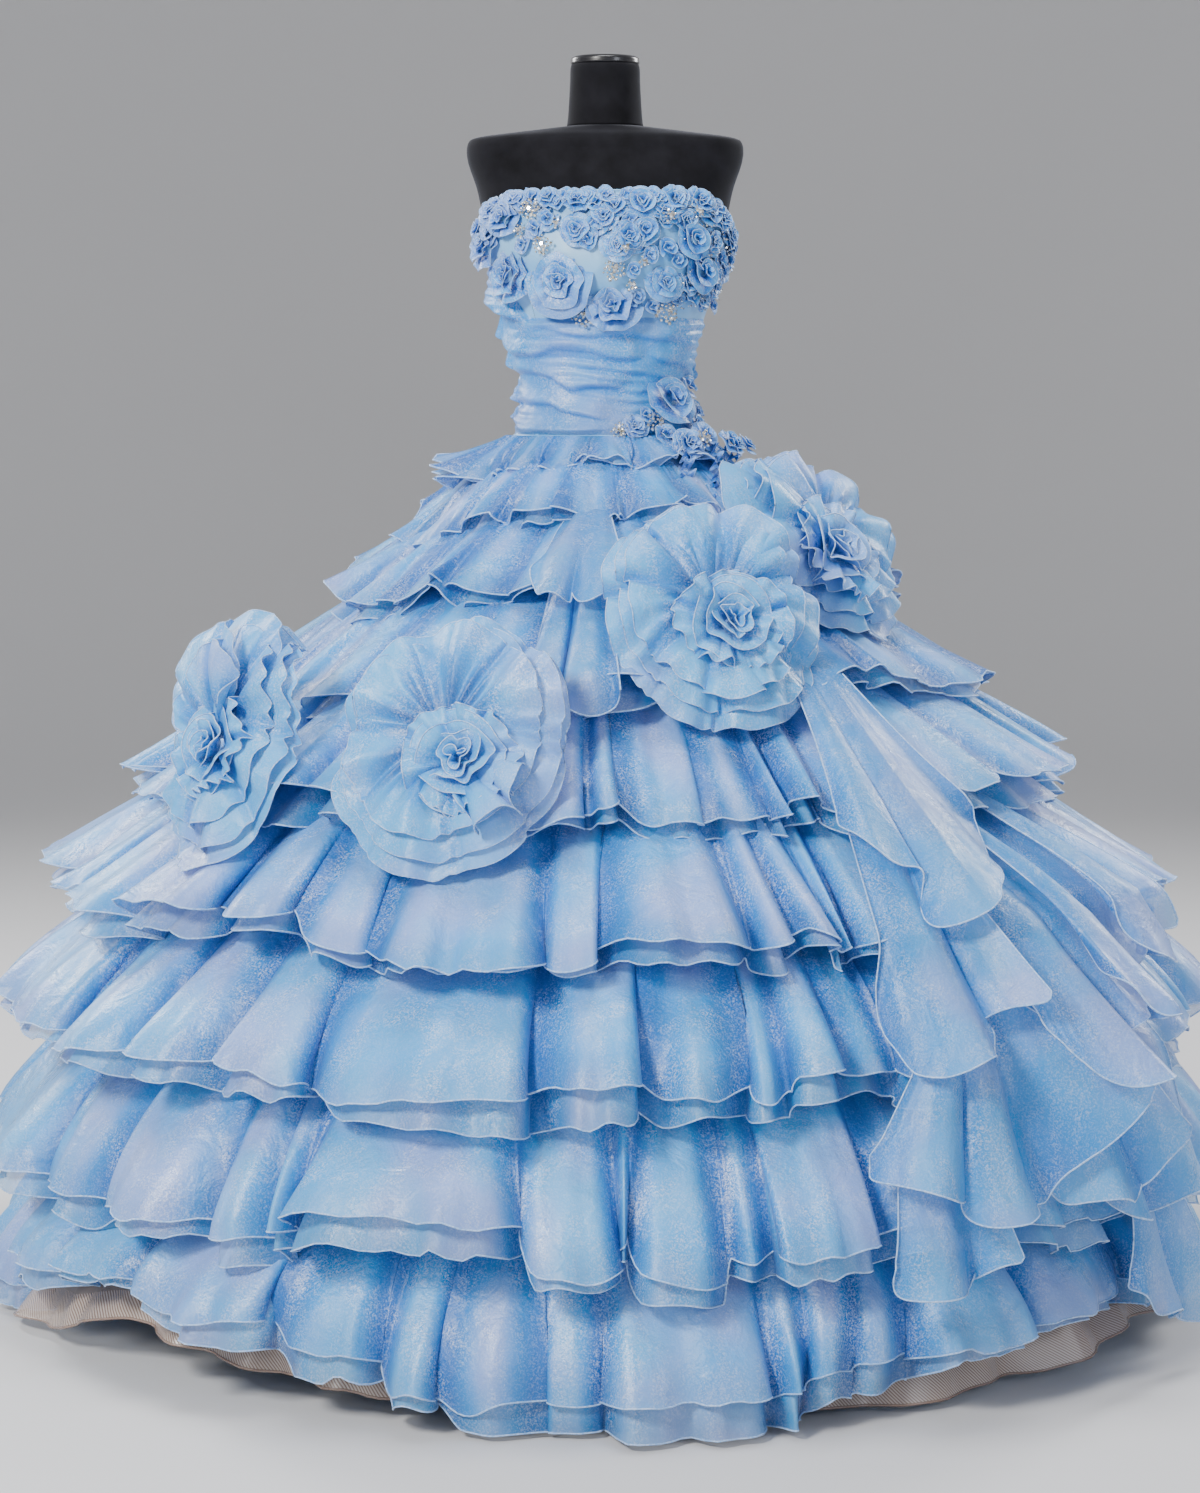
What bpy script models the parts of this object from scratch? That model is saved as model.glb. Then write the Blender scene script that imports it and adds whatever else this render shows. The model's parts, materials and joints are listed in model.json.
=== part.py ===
"""Strapless ball gown with tiered organza flounces, on a limbless dress form.

Metres, +Z up, the gown's front towards -Y and the wearer's left towards +X. The origin is on the
floor, in the axis of the form's pole. Angles are degrees from the centre front towards +X.
"""
import math

import bmesh
import bpy
from mathutils import Vector
from mathutils.bvhtree import BVHTree

# ---- driving dimensions ---------------------------------------------------------------------
GAP = 0.0005             # left between pieces that touch
SATIN_WALL = 0.0020      # bodice and zip tape
CLOTH_WALL = 0.0024      # flounces, sash and foundation, measured level
BRAID_WALL = 0.0015      # horsehair braid

# the dress form's torso, from the bottom up
FORM_SECTIONS = (
    # height, half width, half depth, forward shift
    (0.930, 0.138, 0.106, 0.000),
    (0.942, 0.150, 0.116, 0.000),
    (1.000, 0.152, 0.118, 0.000),
    (1.100, 0.127, 0.098, 0.000),
    (1.170, 0.100, 0.080, 0.000),
    (1.250, 0.116, 0.092, 0.004),
    (1.350, 0.147, 0.116, 0.014),
    (1.440, 0.166, 0.100, 0.006),
    (1.490, 0.180, 0.084, 0.000),
    (1.502, 0.178, 0.080, 0.000),
    (1.509, 0.165, 0.074, 0.000),
    (1.516, 0.110, 0.062, 0.000),
    (1.522, 0.056, 0.054, 0.000),
)
FORM_STEP = 15.0         # degrees between the torso's columns; the bodice and sash share them
NECK_PROFILE = ((0.0490, 0.000), (0.0470, 0.020), (0.0445, 0.080))           # radius, height
NECK_CAP_PROFILE = ((0.0445, 0.000), (0.0445, 0.006), (0.0400, 0.010))
NECK_SIDES = 24
POLE_RADIUS = 0.016
BASE_RADIUS = 0.170
BASE_THICKNESS = 0.012
BASE_BEVEL = 0.003
BASE_SIDES = 32

# the bodice stands off the form by its ease; it rests on it at the waist
BODICE_EASE = ((1.100, 0.0010), (1.170, 0.0006), (1.250, 0.0030), (1.350, 0.0040), (1.440, 0.0040))
BODICE_HEIGHTS = (1.350, 1.250, 1.170, 1.100)      # rows under the top edge
TOP_EDGE = ((0, 1.435), (45, 1.433), (75, 1.396), (105, 1.378), (180, 1.370))   # angle, height
BODICE_PANELS = (
    # name, from angle, to angle
    ("bodice_front", -45, 45),
    ("bodice_side_front_left", 45, 90),
    ("bodice_side_front_right", -90, -45),
    ("bodice_back_left", 90, 177),
    ("bodice_back_right", -177, -90),
)
SEAM_ANGLE = 0.25        # degrees taken off each panel's edge, about 0.5 mm
ZIP_HALF_ANGLE = 2.7     # the tape's half width, as an angle round the form

# the ruched sash: its rows from the top edge down, and how far each stands off the bodice
SASH_ROWS = ((1.274, 0.0000), (1.240, 0.0070), (1.205, 0.0020), (1.165, 0.0080), (1.131, 0.0004))
SASH_PANELS = (("sash_front", -90, 90), ("sash_back_left", 90, 177), ("sash_back_right", -177, -90))

# the foundation skirt under all flounces, from the waist seam down
FOUNDATION = (
    # height, half width, half depth: an oval at the waist, round from the hips down
    (1.125, 0.1247, 0.0987),
    (1.030, 0.1850, 0.1600),
    (0.900, 0.3100, 0.3000),
    (0.720, 0.4600, 0.4600),
    (0.500, 0.5850, 0.5850),
    (0.050, 0.6650, 0.6650),
)
FLUTE_COLUMNS = 3            # two crest points and a valley in each flute
UNEVEN = 0.35                # share by which neighbouring flutes differ in width
FLUTE_RHYTHM = 2.4           # radians from one flute to the next in the run of widths
FLUTE_PLACES = (0.12, 0.70, 0.92)    # where in its width a flute has its crest's ends and its valley

FLOUNCES = (
    # name, seam height, hem height, hem radius, crests out, valleys in, flutes, turn
    ("peplum_1", 1.1220, 1.098, 0.166, 0.012, 0.006, 12, 0.3),
    ("peplum_2", 1.1050, 1.030, 0.238, 0.018, 0.010, 12, 1.7),
    ("peplum_3", 1.0450, 0.945, 0.340, 0.024, 0.014, 12, 0.9),
    ("peplum_4", 0.9680, 0.830, 0.465, 0.030, 0.016, 12, 2.6),
)
TIERS = (
    # name, seam height, hem height, hem radius, crests out, valleys in, flutes, turn
    ("tier_1", 0.870, 0.700, 0.595, 0.036, 0.016, 12, 0.5),
    ("tier_2", 0.740, 0.560, 0.695, 0.038, 0.016, 12, 2.0),
    ("tier_3", 0.600, 0.395, 0.755, 0.038, 0.016, 12, 3.4),
    ("tier_4", 0.435, 0.215, 0.780, 0.036, 0.014, 12, 4.7),
    ("tier_5", 0.250, 0.045, 0.775, 0.030, 0.012, 12, 1.2),
)
UNDER_DROP = 0.028           # the sheer under layer hangs this much lower
UPPER_SHARE = 0.87           # the upper layer's length as a share of the under layer's
UPPER_LIFT = (0.0005, 0.0090, 0.0120)     # upper layer off the under layer at seam, middle and hem
BELL = 0.010                 # the flounce's outward bow at its middle

PETTICOAT = ("petticoat", 0.150, 0.006, 0.722, 0.016, 0.006, 12, 2.9)
BRAID_SHARE = 0.25           # the braid covers this share of the petticoat's depth

CASCADE = (
    # name, top height, hem height, top from angle, to angle, hem from angle, to angle
    # from the hem up, because each flounce falls over the top of the one below
    ("cascade_4", 0.300, 0.110, 27, 34, 22, 39),
    ("cascade_3", 0.480, 0.240, 29, 36, 24, 44),
    ("cascade_2", 0.660, 0.420, 25, 31, 22, 37),
    ("cascade_1", 0.800, 0.590, 26, 33, 22, 38),
    ("front_jabot", 1.010, 0.800, -11, -4, -14, -1),
)
CASCADE_COLUMNS = 6
CASCADE_ROWS = 2
CASCADE_FOLD = 0.012
CASCADE_REST = 0.0009        # off the cloth it is sewn to, along its top
CASCADE_CLEAR = 0.0060       # off the cloth below, at its hem
CASCADE_SAMPLES = (24, 30)   # places the cloth below is felt at, across the flounce and down each row

ROSETTES = (
    # name, angle, height, tilt upwards in degrees, radius
    ("rosette_1", 17.5, 0.908, 30, 0.140),
    ("rosette_2", 51.0, 0.986, 35, 0.122),
    ("rosette_3", -16.5, 0.765, 26, 0.142),
    ("rosette_4", -50.0, 0.756, 22, 0.142),
)
ROSETTE_SIDES = 16
ROSETTE_CLEAR = 0.0075       # left between the ruffle's back and the cloth behind it
ROSETTE_CUP = 0.020          # the ruffle's edge stands this far in front of its root
ROSETTE_WAVE = 0.010
ROSETTE_WALL = 0.0030
HEART_SIDES = 8
STEM_RADIUS = 0.0130
HEART_PROFILE = ((1.0, 0.004), (3.2, 0.026), (3.8, 0.052), (2.2, 0.062))   # stem radii, height

ROSES = (
    # name, angle, height, radius
    ("rose_01", -23.0, 1.319, 0.036),
    ("rose_02", 4.0, 1.285, 0.027),
    ("rose_03", 31.0, 1.318, 0.020),
    ("rose_04", 44.0, 1.372, 0.020),
    ("rose_05", -51.0, 1.398, 0.021),
    ("rose_06", -72.0, 1.360, 0.024),
    ("rose_07", -57.0, 1.322, 0.026),
    ("rose_08", 62.0, 1.330, 0.020),
    ("corsage_rose_1", 50.0, 1.165, 0.029),
    ("corsage_rose_2", 19.0, 1.150, 0.017),
)
ROSE_SIDES = 8
ROSE_PROFILE = ((0.45, 0.00), (1.00, 0.40), (0.80, 0.75))     # shares of the radius: radius, height
FEEL_RINGS = 20              # circles, and places on each, where the cloth under a flower is felt
FEEL_SPOKES = 48
FEEL_REACH = 0.30            # metres in front of a flower's middle and behind it

# the zip's slider and pull at the top of the centre back
SLIDER_HEIGHT = 1.352        # the pull's hinge line
SLIDER_PLATE = (0.0070, 0.0026, 0.0120)      # width, thickness, height
ARCH_WIDTH = 0.0020
ARCH_REACH = 0.0040          # from the hinge line to each end of the arch
ARCH_LEG = 0.0010
ARCH_ROOM = 0.0022           # clear height under the arch
PULL_BAR = 0.0012            # thickness of the pull's bar, arms and tab
PULL_HALF_WIDTH = 0.0034
PULL_ARM = 0.0010
PULL_WINDOW = 0.0066         # from the hinge line down to the tab
PULL_LENGTH = 0.0300

SHARP_ANGLE = 40.0           # degrees between faces from which an edge is drawn sharp
OUTSIDE = 1.5                # a distance from the axis that is outside all cloth
SAME_ANGLE = 1.0             # degrees within which two columns of a panel count as one

FINISHES = {
    # name: sRGB red, green, blue, roughness, metallic
    "organza": (0.60, 0.75, 0.92, 0.45, 0.0),
    "under_organza": (0.70, 0.82, 0.93, 0.50, 0.0),
    "satin": (0.55, 0.72, 0.91, 0.38, 0.0),
    "rose_cloth": (0.45, 0.66, 0.90, 0.45, 0.0),
    "tulle": (0.83, 0.76, 0.74, 0.70, 0.0),
    "velvet": (0.03, 0.03, 0.04, 0.90, 0.0),
    "black_enamel": (0.04, 0.04, 0.05, 0.35, 0.0),
    "nickel": (0.72, 0.74, 0.78, 0.25, 1.0),
}


# ---- small tools ----------------------------------------------------------------------------
def finish(name):
    """The material of that name, made when it is first asked for."""
    material = bpy.data.materials.get(name)
    if material:
        return material
    red, green, blue, roughness, metallic = FINISHES[name]
    material = bpy.data.materials.new(name)
    material.use_nodes = True
    shader = material.node_tree.nodes["Principled BSDF"]
    shader.inputs["Base Color"].default_value = (red ** 2.2, green ** 2.2, blue ** 2.2, 1.0)
    shader.inputs["Roughness"].default_value = roughness
    shader.inputs["Metallic"].default_value = metallic
    return material


def add_object(name, mesh_builder, material, smooth=False):
    """Turn a bmesh into an object with its faces split into triangles and pointing out."""
    bmesh.ops.triangulate(mesh_builder, faces=mesh_builder.faces[:], quad_method="FIXED")
    bmesh.ops.recalc_face_normals(mesh_builder, faces=mesh_builder.faces[:])
    mesh = bpy.data.meshes.new(name)
    mesh_builder.to_mesh(mesh)
    mesh_builder.free()
    mesh.materials.append(finish(material))
    if smooth:
        mesh.shade_smooth()
        mesh.set_sharp_from_angle(angle=math.radians(SHARP_ANGLE))
    piece = bpy.data.objects.new(name, mesh)
    bpy.context.scene.collection.objects.link(piece)
    return piece


def between(table, place, column=1):
    """The value in a table's column at a place along its first column, on straight lines."""
    rows = sorted(table)
    if place <= rows[0][0]:
        return rows[0][column]
    for low, high in zip(rows, rows[1:]):
        if place <= high[0]:
            share = (place - low[0]) / (high[0] - low[0])
            return low[column] + (high[column] - low[column]) * share
    return rows[-1][column]


def on_oval(angle, half_width, half_depth, height, forward=0.0):
    turn = math.radians(angle)
    return Vector((half_width * math.sin(turn), -half_depth * math.cos(turn) - forward, height))


def moved_out(point, distance):
    """The point moved level, away from the axis."""
    level = Vector((point.x, point.y, 0.0)).normalized()
    return point + level * distance


def wall(name, outer, inner, material, closed=True):
    """A solid wall between two grids of points, whose rows run from the top down."""
    shape = bmesh.new()
    front = [[shape.verts.new(point) for point in row] for row in outer]
    back = [[shape.verts.new(point) for point in row] for row in inner]
    count = len(outer[0])
    last = len(outer) - 1
    for column in range(count if closed else count - 1):
        after = (column + 1) % count
        for row in range(last):
            shape.faces.new((front[row][column], front[row + 1][column],
                             front[row + 1][after], front[row][after]))
            shape.faces.new((back[row][column], back[row][after],
                             back[row + 1][after], back[row + 1][column]))
        shape.faces.new((front[0][column], front[0][after], back[0][after], back[0][column]))
        shape.faces.new((front[last][column], back[last][column],
                         back[last][after], front[last][after]))
    if not closed:
        for row in range(last):
            shape.faces.new((front[row][0], back[row][0], back[row + 1][0], front[row + 1][0]))
            shape.faces.new((front[row][-1], front[row + 1][-1], back[row + 1][-1], back[row][-1]))
    return add_object(name, shape, material, smooth=True)


def cloth_wall(name, outer, thickness, material, closed=True):
    """A wall whose inner side is its outer side moved level towards the axis."""
    inner = [[moved_out(point, -thickness) for point in row] for row in outer]
    return wall(name, outer, inner, material, closed)


def loft(name, rings, material, smooth=True):
    """A closed solid through rings of points, capped flat at both ends."""
    shape = bmesh.new()
    circles = [[shape.verts.new(point) for point in ring] for ring in rings]
    count = len(rings[0])
    for low, high in zip(circles, circles[1:]):
        for index in range(count):
            after = (index + 1) % count
            shape.faces.new((low[index], low[after], high[after], high[index]))
    shape.faces.new(circles[0])
    shape.faces.new(circles[-1])
    return add_object(name, shape, material, smooth)


def turned(name, profile, bottom, sides, material):
    """A solid of revolution on the pole's axis; the profile holds radius and height."""
    step = 360.0 / sides
    rings = [[on_oval(step * index, radius, radius, bottom + height) for index in range(sides)]
             for radius, height in profile]
    return loft(name, rings, material)


# ---- the dress form -------------------------------------------------------------------------
def form_section(height):
    """Half width, half depth and forward shift of the torso at a height."""
    return tuple(between(FORM_SECTIONS, height, column) for column in (1, 2, 3))


def make_form():
    angles = [FORM_STEP * index for index in range(round(360 / FORM_STEP))]
    rings = [[on_oval(angle, half_width, half_depth, height, forward) for angle in angles]
             for height, half_width, half_depth, forward in FORM_SECTIONS]
    loft("form_torso", rings, "velvet")
    neck_bottom = FORM_SECTIONS[-1][0] + GAP
    turned("form_neck", NECK_PROFILE, neck_bottom, NECK_SIDES, "velvet")
    cap_bottom = neck_bottom + NECK_PROFILE[-1][1] + GAP
    turned("form_neck_cap", NECK_CAP_PROFILE, cap_bottom, NECK_SIDES, "black_enamel")
    base_profile = ((BASE_RADIUS, 0.0), (BASE_RADIUS, BASE_THICKNESS - BASE_BEVEL),
                    (BASE_RADIUS - BASE_BEVEL, BASE_THICKNESS))
    turned("form_base", base_profile, 0.0, BASE_SIDES, "black_enamel")
    pole_bottom = BASE_THICKNESS + GAP
    pole_length = FORM_SECTIONS[0][0] - GAP - pole_bottom
    pole_profile = ((POLE_RADIUS, 0.0), (POLE_RADIUS, pole_length))
    turned("form_pole", pole_profile, pole_bottom, NECK_SIDES, "black_enamel")


# ---- bodice, sash and zip -------------------------------------------------------------------
def bodice_point(angle, height, off=0.0):
    """A point on the bodice's outer side, or off it."""
    half_width, half_depth, forward = form_section(height)
    out = between(BODICE_EASE, height) + SATIN_WALL + off
    return on_oval(angle, half_width + out, half_depth + out, height, forward)


def panel_angles(start, end, trim):
    """The shared columns from start to end, with both ends trimmed for the seam."""
    first = math.floor(start / FORM_STEP) * FORM_STEP
    inside = []
    angle = first
    while angle < end - SAME_ANGLE:
        if angle > start + SAME_ANGLE:
            inside.append(angle)
        angle += FORM_STEP
    return [start + trim] + inside + [end - trim]


def body_panel(name, start, end, rows, thickness, material, trim=SEAM_ANGLE):
    """A panel round the body; rows give a height, or None for the top edge, and a stand-off."""
    outer = []
    for height, off in rows:
        outer.append([bodice_point(angle, height or between(TOP_EDGE, abs(angle)), off)
                      for angle in panel_angles(start, end, trim)])
    return cloth_wall(name, outer, thickness, material, closed=False)


def make_bodice():
    rows = [(None, 0.0)] + [(height, 0.0) for height in BODICE_HEIGHTS]
    for name, start, end in BODICE_PANELS:
        body_panel(name, start, end, rows, SATIN_WALL, "satin")
    body_panel("zip_tape", 180 - ZIP_HALF_ANGLE, 180 + ZIP_HALF_ANGLE, rows, SATIN_WALL, "satin",
               trim=0.0)
    sash_rows = [(height, off + GAP + CLOTH_WALL) for height, off in SASH_ROWS]
    for name, start, end in SASH_PANELS:
        body_panel(name, start, end, sash_rows, CLOTH_WALL, "organza")


def add_box(shape, low, high):
    """Add a closed box to a bmesh."""
    corners = [shape.verts.new((x, y, z)) for x in (low[0], high[0])
               for y in (low[1], high[1]) for z in (low[2], high[2])]
    sides = ((0, 1, 3, 2), (4, 6, 7, 5), (0, 4, 5, 1), (2, 3, 7, 6), (0, 2, 6, 4), (1, 5, 7, 3))
    for side in sides:
        shape.faces.new([corners[index] for index in side])


def extruded_outline(name, outline, hole, low_x, high_x, material):
    """A bar with a rectangular window, cut along X; outline and hole are (y, z) rectangles."""
    shape = bmesh.new()
    rings = []
    for x in (low_x, high_x):
        for ys, zs in (outline, hole):
            rings.append([shape.verts.new((x, y, z))
                          for y, z in ((ys[0], zs[0]), (ys[1], zs[0]), (ys[1], zs[1]), (ys[0], zs[1]))])
    outer_low, hole_low, outer_high, hole_high = rings
    for index in range(4):
        after = (index + 1) % 4
        shape.faces.new((outer_low[index], outer_low[after], outer_high[after], outer_high[index]))
        shape.faces.new((hole_low[index], hole_high[index], hole_high[after], hole_low[after]))
        shape.faces.new((outer_low[index], hole_low[index], hole_low[after], outer_low[after]))
        shape.faces.new((outer_high[index], outer_high[after], hole_high[after], hole_high[index]))
    return add_object(name, shape, material)


def make_zip_fittings():
    """The slider's plate, the arch on it, and the pull that hangs through the arch."""
    width, thickness, tall = SLIDER_PLATE
    behind = (SLIDER_HEIGHT - tall / 2, BODICE_HEIGHTS[0], SLIDER_HEIGHT + tall / 2)
    tape_face = max(bodice_point(180.0, height).y for height in behind)
    plate_back = tape_face + GAP
    plate_face = plate_back + thickness
    shape = bmesh.new()
    add_box(shape, (-width / 2, plate_back, SLIDER_HEIGHT - tall / 2),
            (width / 2, plate_face, SLIDER_HEIGHT + tall / 2))
    add_object("zip_slider", shape, "nickel")
    arch_foot = plate_face + GAP
    arch_room_top = arch_foot + ARCH_LEG + ARCH_ROOM
    extruded_outline(
        "zip_arch",
        ((arch_foot, arch_room_top + ARCH_LEG),
         (SLIDER_HEIGHT - ARCH_REACH, SLIDER_HEIGHT + ARCH_REACH)),
        ((arch_foot + ARCH_LEG, arch_room_top),
         (SLIDER_HEIGHT - ARCH_REACH + ARCH_LEG, SLIDER_HEIGHT + ARCH_REACH - ARCH_LEG)),
        -ARCH_WIDTH / 2, ARCH_WIDTH / 2, "nickel")
    hinge_y = arch_foot + ARCH_LEG + ARCH_ROOM / 2
    make_zip_pull(hinge_y)


def make_zip_pull(hinge_y):
    """A flat tab under a window whose top bar lies in the arch; its origin is on the hinge."""
    shape = bmesh.new()
    half = PULL_BAR / 2
    tab_top = -PULL_WINDOW
    columns = (-PULL_HALF_WIDTH, -PULL_HALF_WIDTH + PULL_ARM, PULL_HALF_WIDTH - PULL_ARM, PULL_HALF_WIDTH)
    levels = (half, -half, tab_top, -PULL_LENGTH)
    front = [[shape.verts.new((x, half, z)) for x in columns] for z in levels]
    back = [[shape.verts.new((x, -half, z)) for x in columns] for z in levels]
    window = (1, 1)
    for row in range(3):
        for column in range(3):
            if (row, column) == window:
                continue
            shape.faces.new((front[row][column], front[row][column + 1],
                             front[row + 1][column + 1], front[row + 1][column]))
            shape.faces.new((back[row][column], back[row + 1][column],
                             back[row + 1][column + 1], back[row][column + 1]))
    rim = ([(0, column) for column in range(4)] + [(row, 3) for row in range(1, 4)]
           + [(3, column) for column in (2, 1, 0)] + [(row, 0) for row in (2, 1)])
    hole = [(1, 1), (2, 1), (2, 2), (1, 2)]
    for loop in (rim, hole):
        for here, there in zip(loop, loop[1:] + loop[:1]):
            shape.faces.new((front[here[0]][here[1]], back[here[0]][here[1]],
                             back[there[0]][there[1]], front[there[0]][there[1]]))
    pull = add_object("zip_pull", shape, "nickel")
    pull.location = (0.0, hinge_y, SLIDER_HEIGHT)


# ---- skirt ----------------------------------------------------------------------------------
def make_foundation(columns):
    step = 360.0 / columns
    outer = [[on_oval(step * index, half_width, half_depth, height) for index in range(columns)]
             for height, half_width, half_depth in FOUNDATION]
    return cloth_wall("foundation_skirt", outer, CLOTH_WALL, "satin")


def flounce_columns(flutes, turn):
    """Hem angle of each column and its reach, 1 on a crest and -1 in a valley."""
    widths = [1.0 + UNEVEN * math.sin(FLUTE_RHYTHM * number + turn) for number in range(flutes)]
    total = sum(widths)
    columns = []
    start = 0.0
    for width in widths:
        for place, reach in zip(FLUTE_PLACES, (1.0, 1.0, -1.0)):
            columns.append((360.0 * (start + place * width) / total, reach))
        start += width
    return columns


def flounce_rows(row, shares):
    """Outer points of a flounce at shares of its depth, from its seam to its hem."""
    seam, hem, hem_radius, crest, valley, flutes, turn = row[1:]
    columns = flounce_columns(flutes, turn)
    seam_step = 360.0 / len(columns)
    seam_width, seam_depth = (between(FOUNDATION, seam, column) + GAP + CLOTH_WALL
                              for column in (1, 2))
    hem_oval = between(FOUNDATION, hem, 2) / between(FOUNDATION, hem, 1)
    rows = []
    for share in shares:
        points = []
        height = seam + (hem - seam) * share
        bow = BELL * math.sin(math.pi * share)
        for index, (hem_angle, reach) in enumerate(columns):
            full = hem_radius + (crest if reach > 0 else -valley)
            half_width = seam_width + (full - seam_width) * share + bow
            half_depth = seam_depth + (full * hem_oval - seam_depth) * share + bow
            angle = seam_step * index + (hem_angle - seam_step * index) * share
            points.append(on_oval(angle, half_width, half_depth, height))
        rows.append(points)
    return rows


def make_peplum():
    for row in FLOUNCES:
        cloth_wall(row[0], flounce_rows(row, (0.0, 1.0)), CLOTH_WALL, "organza")


def make_tiers():
    """Each tier's under layer, and its upper layer made from the under layer's points."""
    for row in TIERS:
        name, seam, hem = row[:3]
        under_row = (name, seam, hem - UNDER_DROP) + row[3:]
        under = flounce_rows(under_row, (0.0, 0.5, 1.0))
        cloth_wall(name + "_under", under, CLOTH_WALL, "under_organza")
        middle = flounce_rows(under_row, (0.0, 0.5, UPPER_SHARE))
        upper = [[moved_out(point, CLOTH_WALL + lift) for point in points]
                 for points, lift in zip(middle, UPPER_LIFT)]
        cloth_wall(name + "_upper", upper, CLOTH_WALL, "organza")


def make_petticoat():
    """The nude flounce under the last tier, and the braid that lies on its lower edge."""
    rows = flounce_rows(PETTICOAT, (0.0, 1.0 - BRAID_SHARE, 1.0))
    cloth_wall("petticoat", rows, CLOTH_WALL, "tulle")
    braid = [[moved_out(point, GAP + BRAID_WALL) for point in points] for points in rows[1:]]
    cloth_wall("petticoat_braid", braid, BRAID_WALL, "tulle")


# ---- pieces laid on the skirt and bodice ----------------------------------------------------
def surface_of_all():
    """A search tree over the faces of all the pieces made so far."""
    shape = bmesh.new()
    for piece in bpy.data.objects:
        if piece.type == "MESH":
            shape.from_mesh(piece.data)
    return BVHTree.FromBMesh(shape)


def outer_radius(tree, angle, height):
    """How far from the axis the outermost cloth is, at an angle and a height."""
    outward = on_oval(angle, 1.0, 1.0, 0.0)
    hit = tree.ray_cast(outward * OUTSIDE + Vector((0.0, 0.0, height)), -outward)[0]
    return Vector((hit.x, hit.y)).length if hit else 0.0


def widest_cloth(tree, spread, share, height):
    """The largest radius of the cloth under a cascade flounce at a share of its depth."""
    top_from, top_to, hem_from, hem_to = spread
    start = top_from + (hem_from - top_from) * share
    end = top_to + (hem_to - top_to) * share
    across = CASCADE_SAMPLES[0]
    angles = [start + (end - start) * index / across for index in range(across + 1)]
    return max(outer_radius(tree, angle, height) for angle in angles)


def cascade_radii(tree, heights, spread):
    """Radius of each row, so that the flounce rests on the cloth at its top and clears it below."""
    top, hem = heights[0], heights[-1]
    down = CASCADE_SAMPLES[1]
    radii = [widest_cloth(tree, spread, 0.0, top) + CASCADE_REST + CLOTH_WALL]
    for upper, lower in zip(heights, heights[1:]):
        slopes = []
        for index in range(1, down + 1):
            height = upper + (lower - upper) * index / down
            share = (top - height) / (top - hem)
            room = CASCADE_REST + (CASCADE_CLEAR - CASCADE_REST) * share
            widest = widest_cloth(tree, spread, share, height)
            slopes.append((widest + room + CLOTH_WALL - radii[-1]) / (upper - height))
        radii.append(radii[-1] + max(slopes) * (upper - lower))
    return radii


def make_cascade():
    for name, top, hem, *spread in CASCADE:
        tree = surface_of_all()
        top_from, top_to, hem_from, hem_to = spread
        heights = [top + (hem - top) * index / CASCADE_ROWS for index in range(CASCADE_ROWS + 1)]
        outer = []
        for row, radius in enumerate(cascade_radii(tree, heights, spread)):
            share = row / CASCADE_ROWS
            start = top_from + (hem_from - top_from) * share
            end = top_to + (hem_to - top_to) * share
            points = []
            for column in range(CASCADE_COLUMNS):
                angle = start + (end - start) * column / (CASCADE_COLUMNS - 1)
                reach = radius + CASCADE_FOLD * share * (column % 2)
                points.append(on_oval(angle, reach, reach, heights[row]))
            outer.append(points)
        cloth_wall(name, outer, CLOTH_WALL, "organza", closed=False)


def facing_of(angle, tilt):
    """The level direction away from the axis at an angle, tilted upwards."""
    level = on_oval(angle, 1.0, 1.0, 0.0)
    lean = math.radians(tilt)
    return level * math.cos(lean) + Vector((0.0, 0.0, math.sin(lean)))


def disc_frame(facing):
    side = Vector((0.0, 0.0, 1.0)).cross(facing).normalized()
    return side, facing.cross(side)


def highest_cloth(tree, middle, facing, radius, cup=0.0):
    """Height of the highest cloth over a disc, or over one whose edge stands forward by its cup."""
    side, upward = disc_frame(facing)
    heights = []
    for ring in range(FEEL_RINGS + 1):
        share = ring / FEEL_RINGS
        for spoke in range(FEEL_SPOKES):
            turn = 2 * math.pi * spoke / FEEL_SPOKES
            across = side * math.cos(turn) + upward * math.sin(turn)
            start = middle + across * radius * share + facing * FEEL_REACH
            hit = tree.ray_cast(start, -facing, 2 * FEEL_REACH)[0]
            if hit:
                heights.append((hit - middle).dot(facing) - cup * share)
    return max(heights)


def round_solid(name, middle, facing, sections, sides, material):
    """A closed solid through circles in front of a point; sections hold radius and height."""
    side, upward = disc_frame(facing)
    rings = []
    for radius, height in sections:
        ring = []
        for index in range(sides):
            turn = 2 * math.pi * index / sides
            across = side * math.cos(turn) + upward * math.sin(turn)
            ring.append(middle + across * radius + facing * height)
        rings.append(ring)
    return loft(name, rings, material)


def rosette_ruffle(name, middle, facing, radius):
    """The wavy outer ruffle, a wall from the stem to the edge."""
    side, upward = disc_frame(facing)
    root, edge = [], []
    for index in range(ROSETTE_SIDES):
        turn = 2 * math.pi * index / ROSETTE_SIDES
        across = side * math.cos(turn) + upward * math.sin(turn)
        wave = ROSETTE_WAVE * (index % 2)
        root.append(middle + across * (STEM_RADIUS + GAP))
        edge.append(middle + across * radius + facing * (ROSETTE_CUP + wave))
    front = [edge, root]
    back = [[point - facing * ROSETTE_WALL for point in row] for row in front]
    return wall(name, front, back, "organza")


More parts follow.
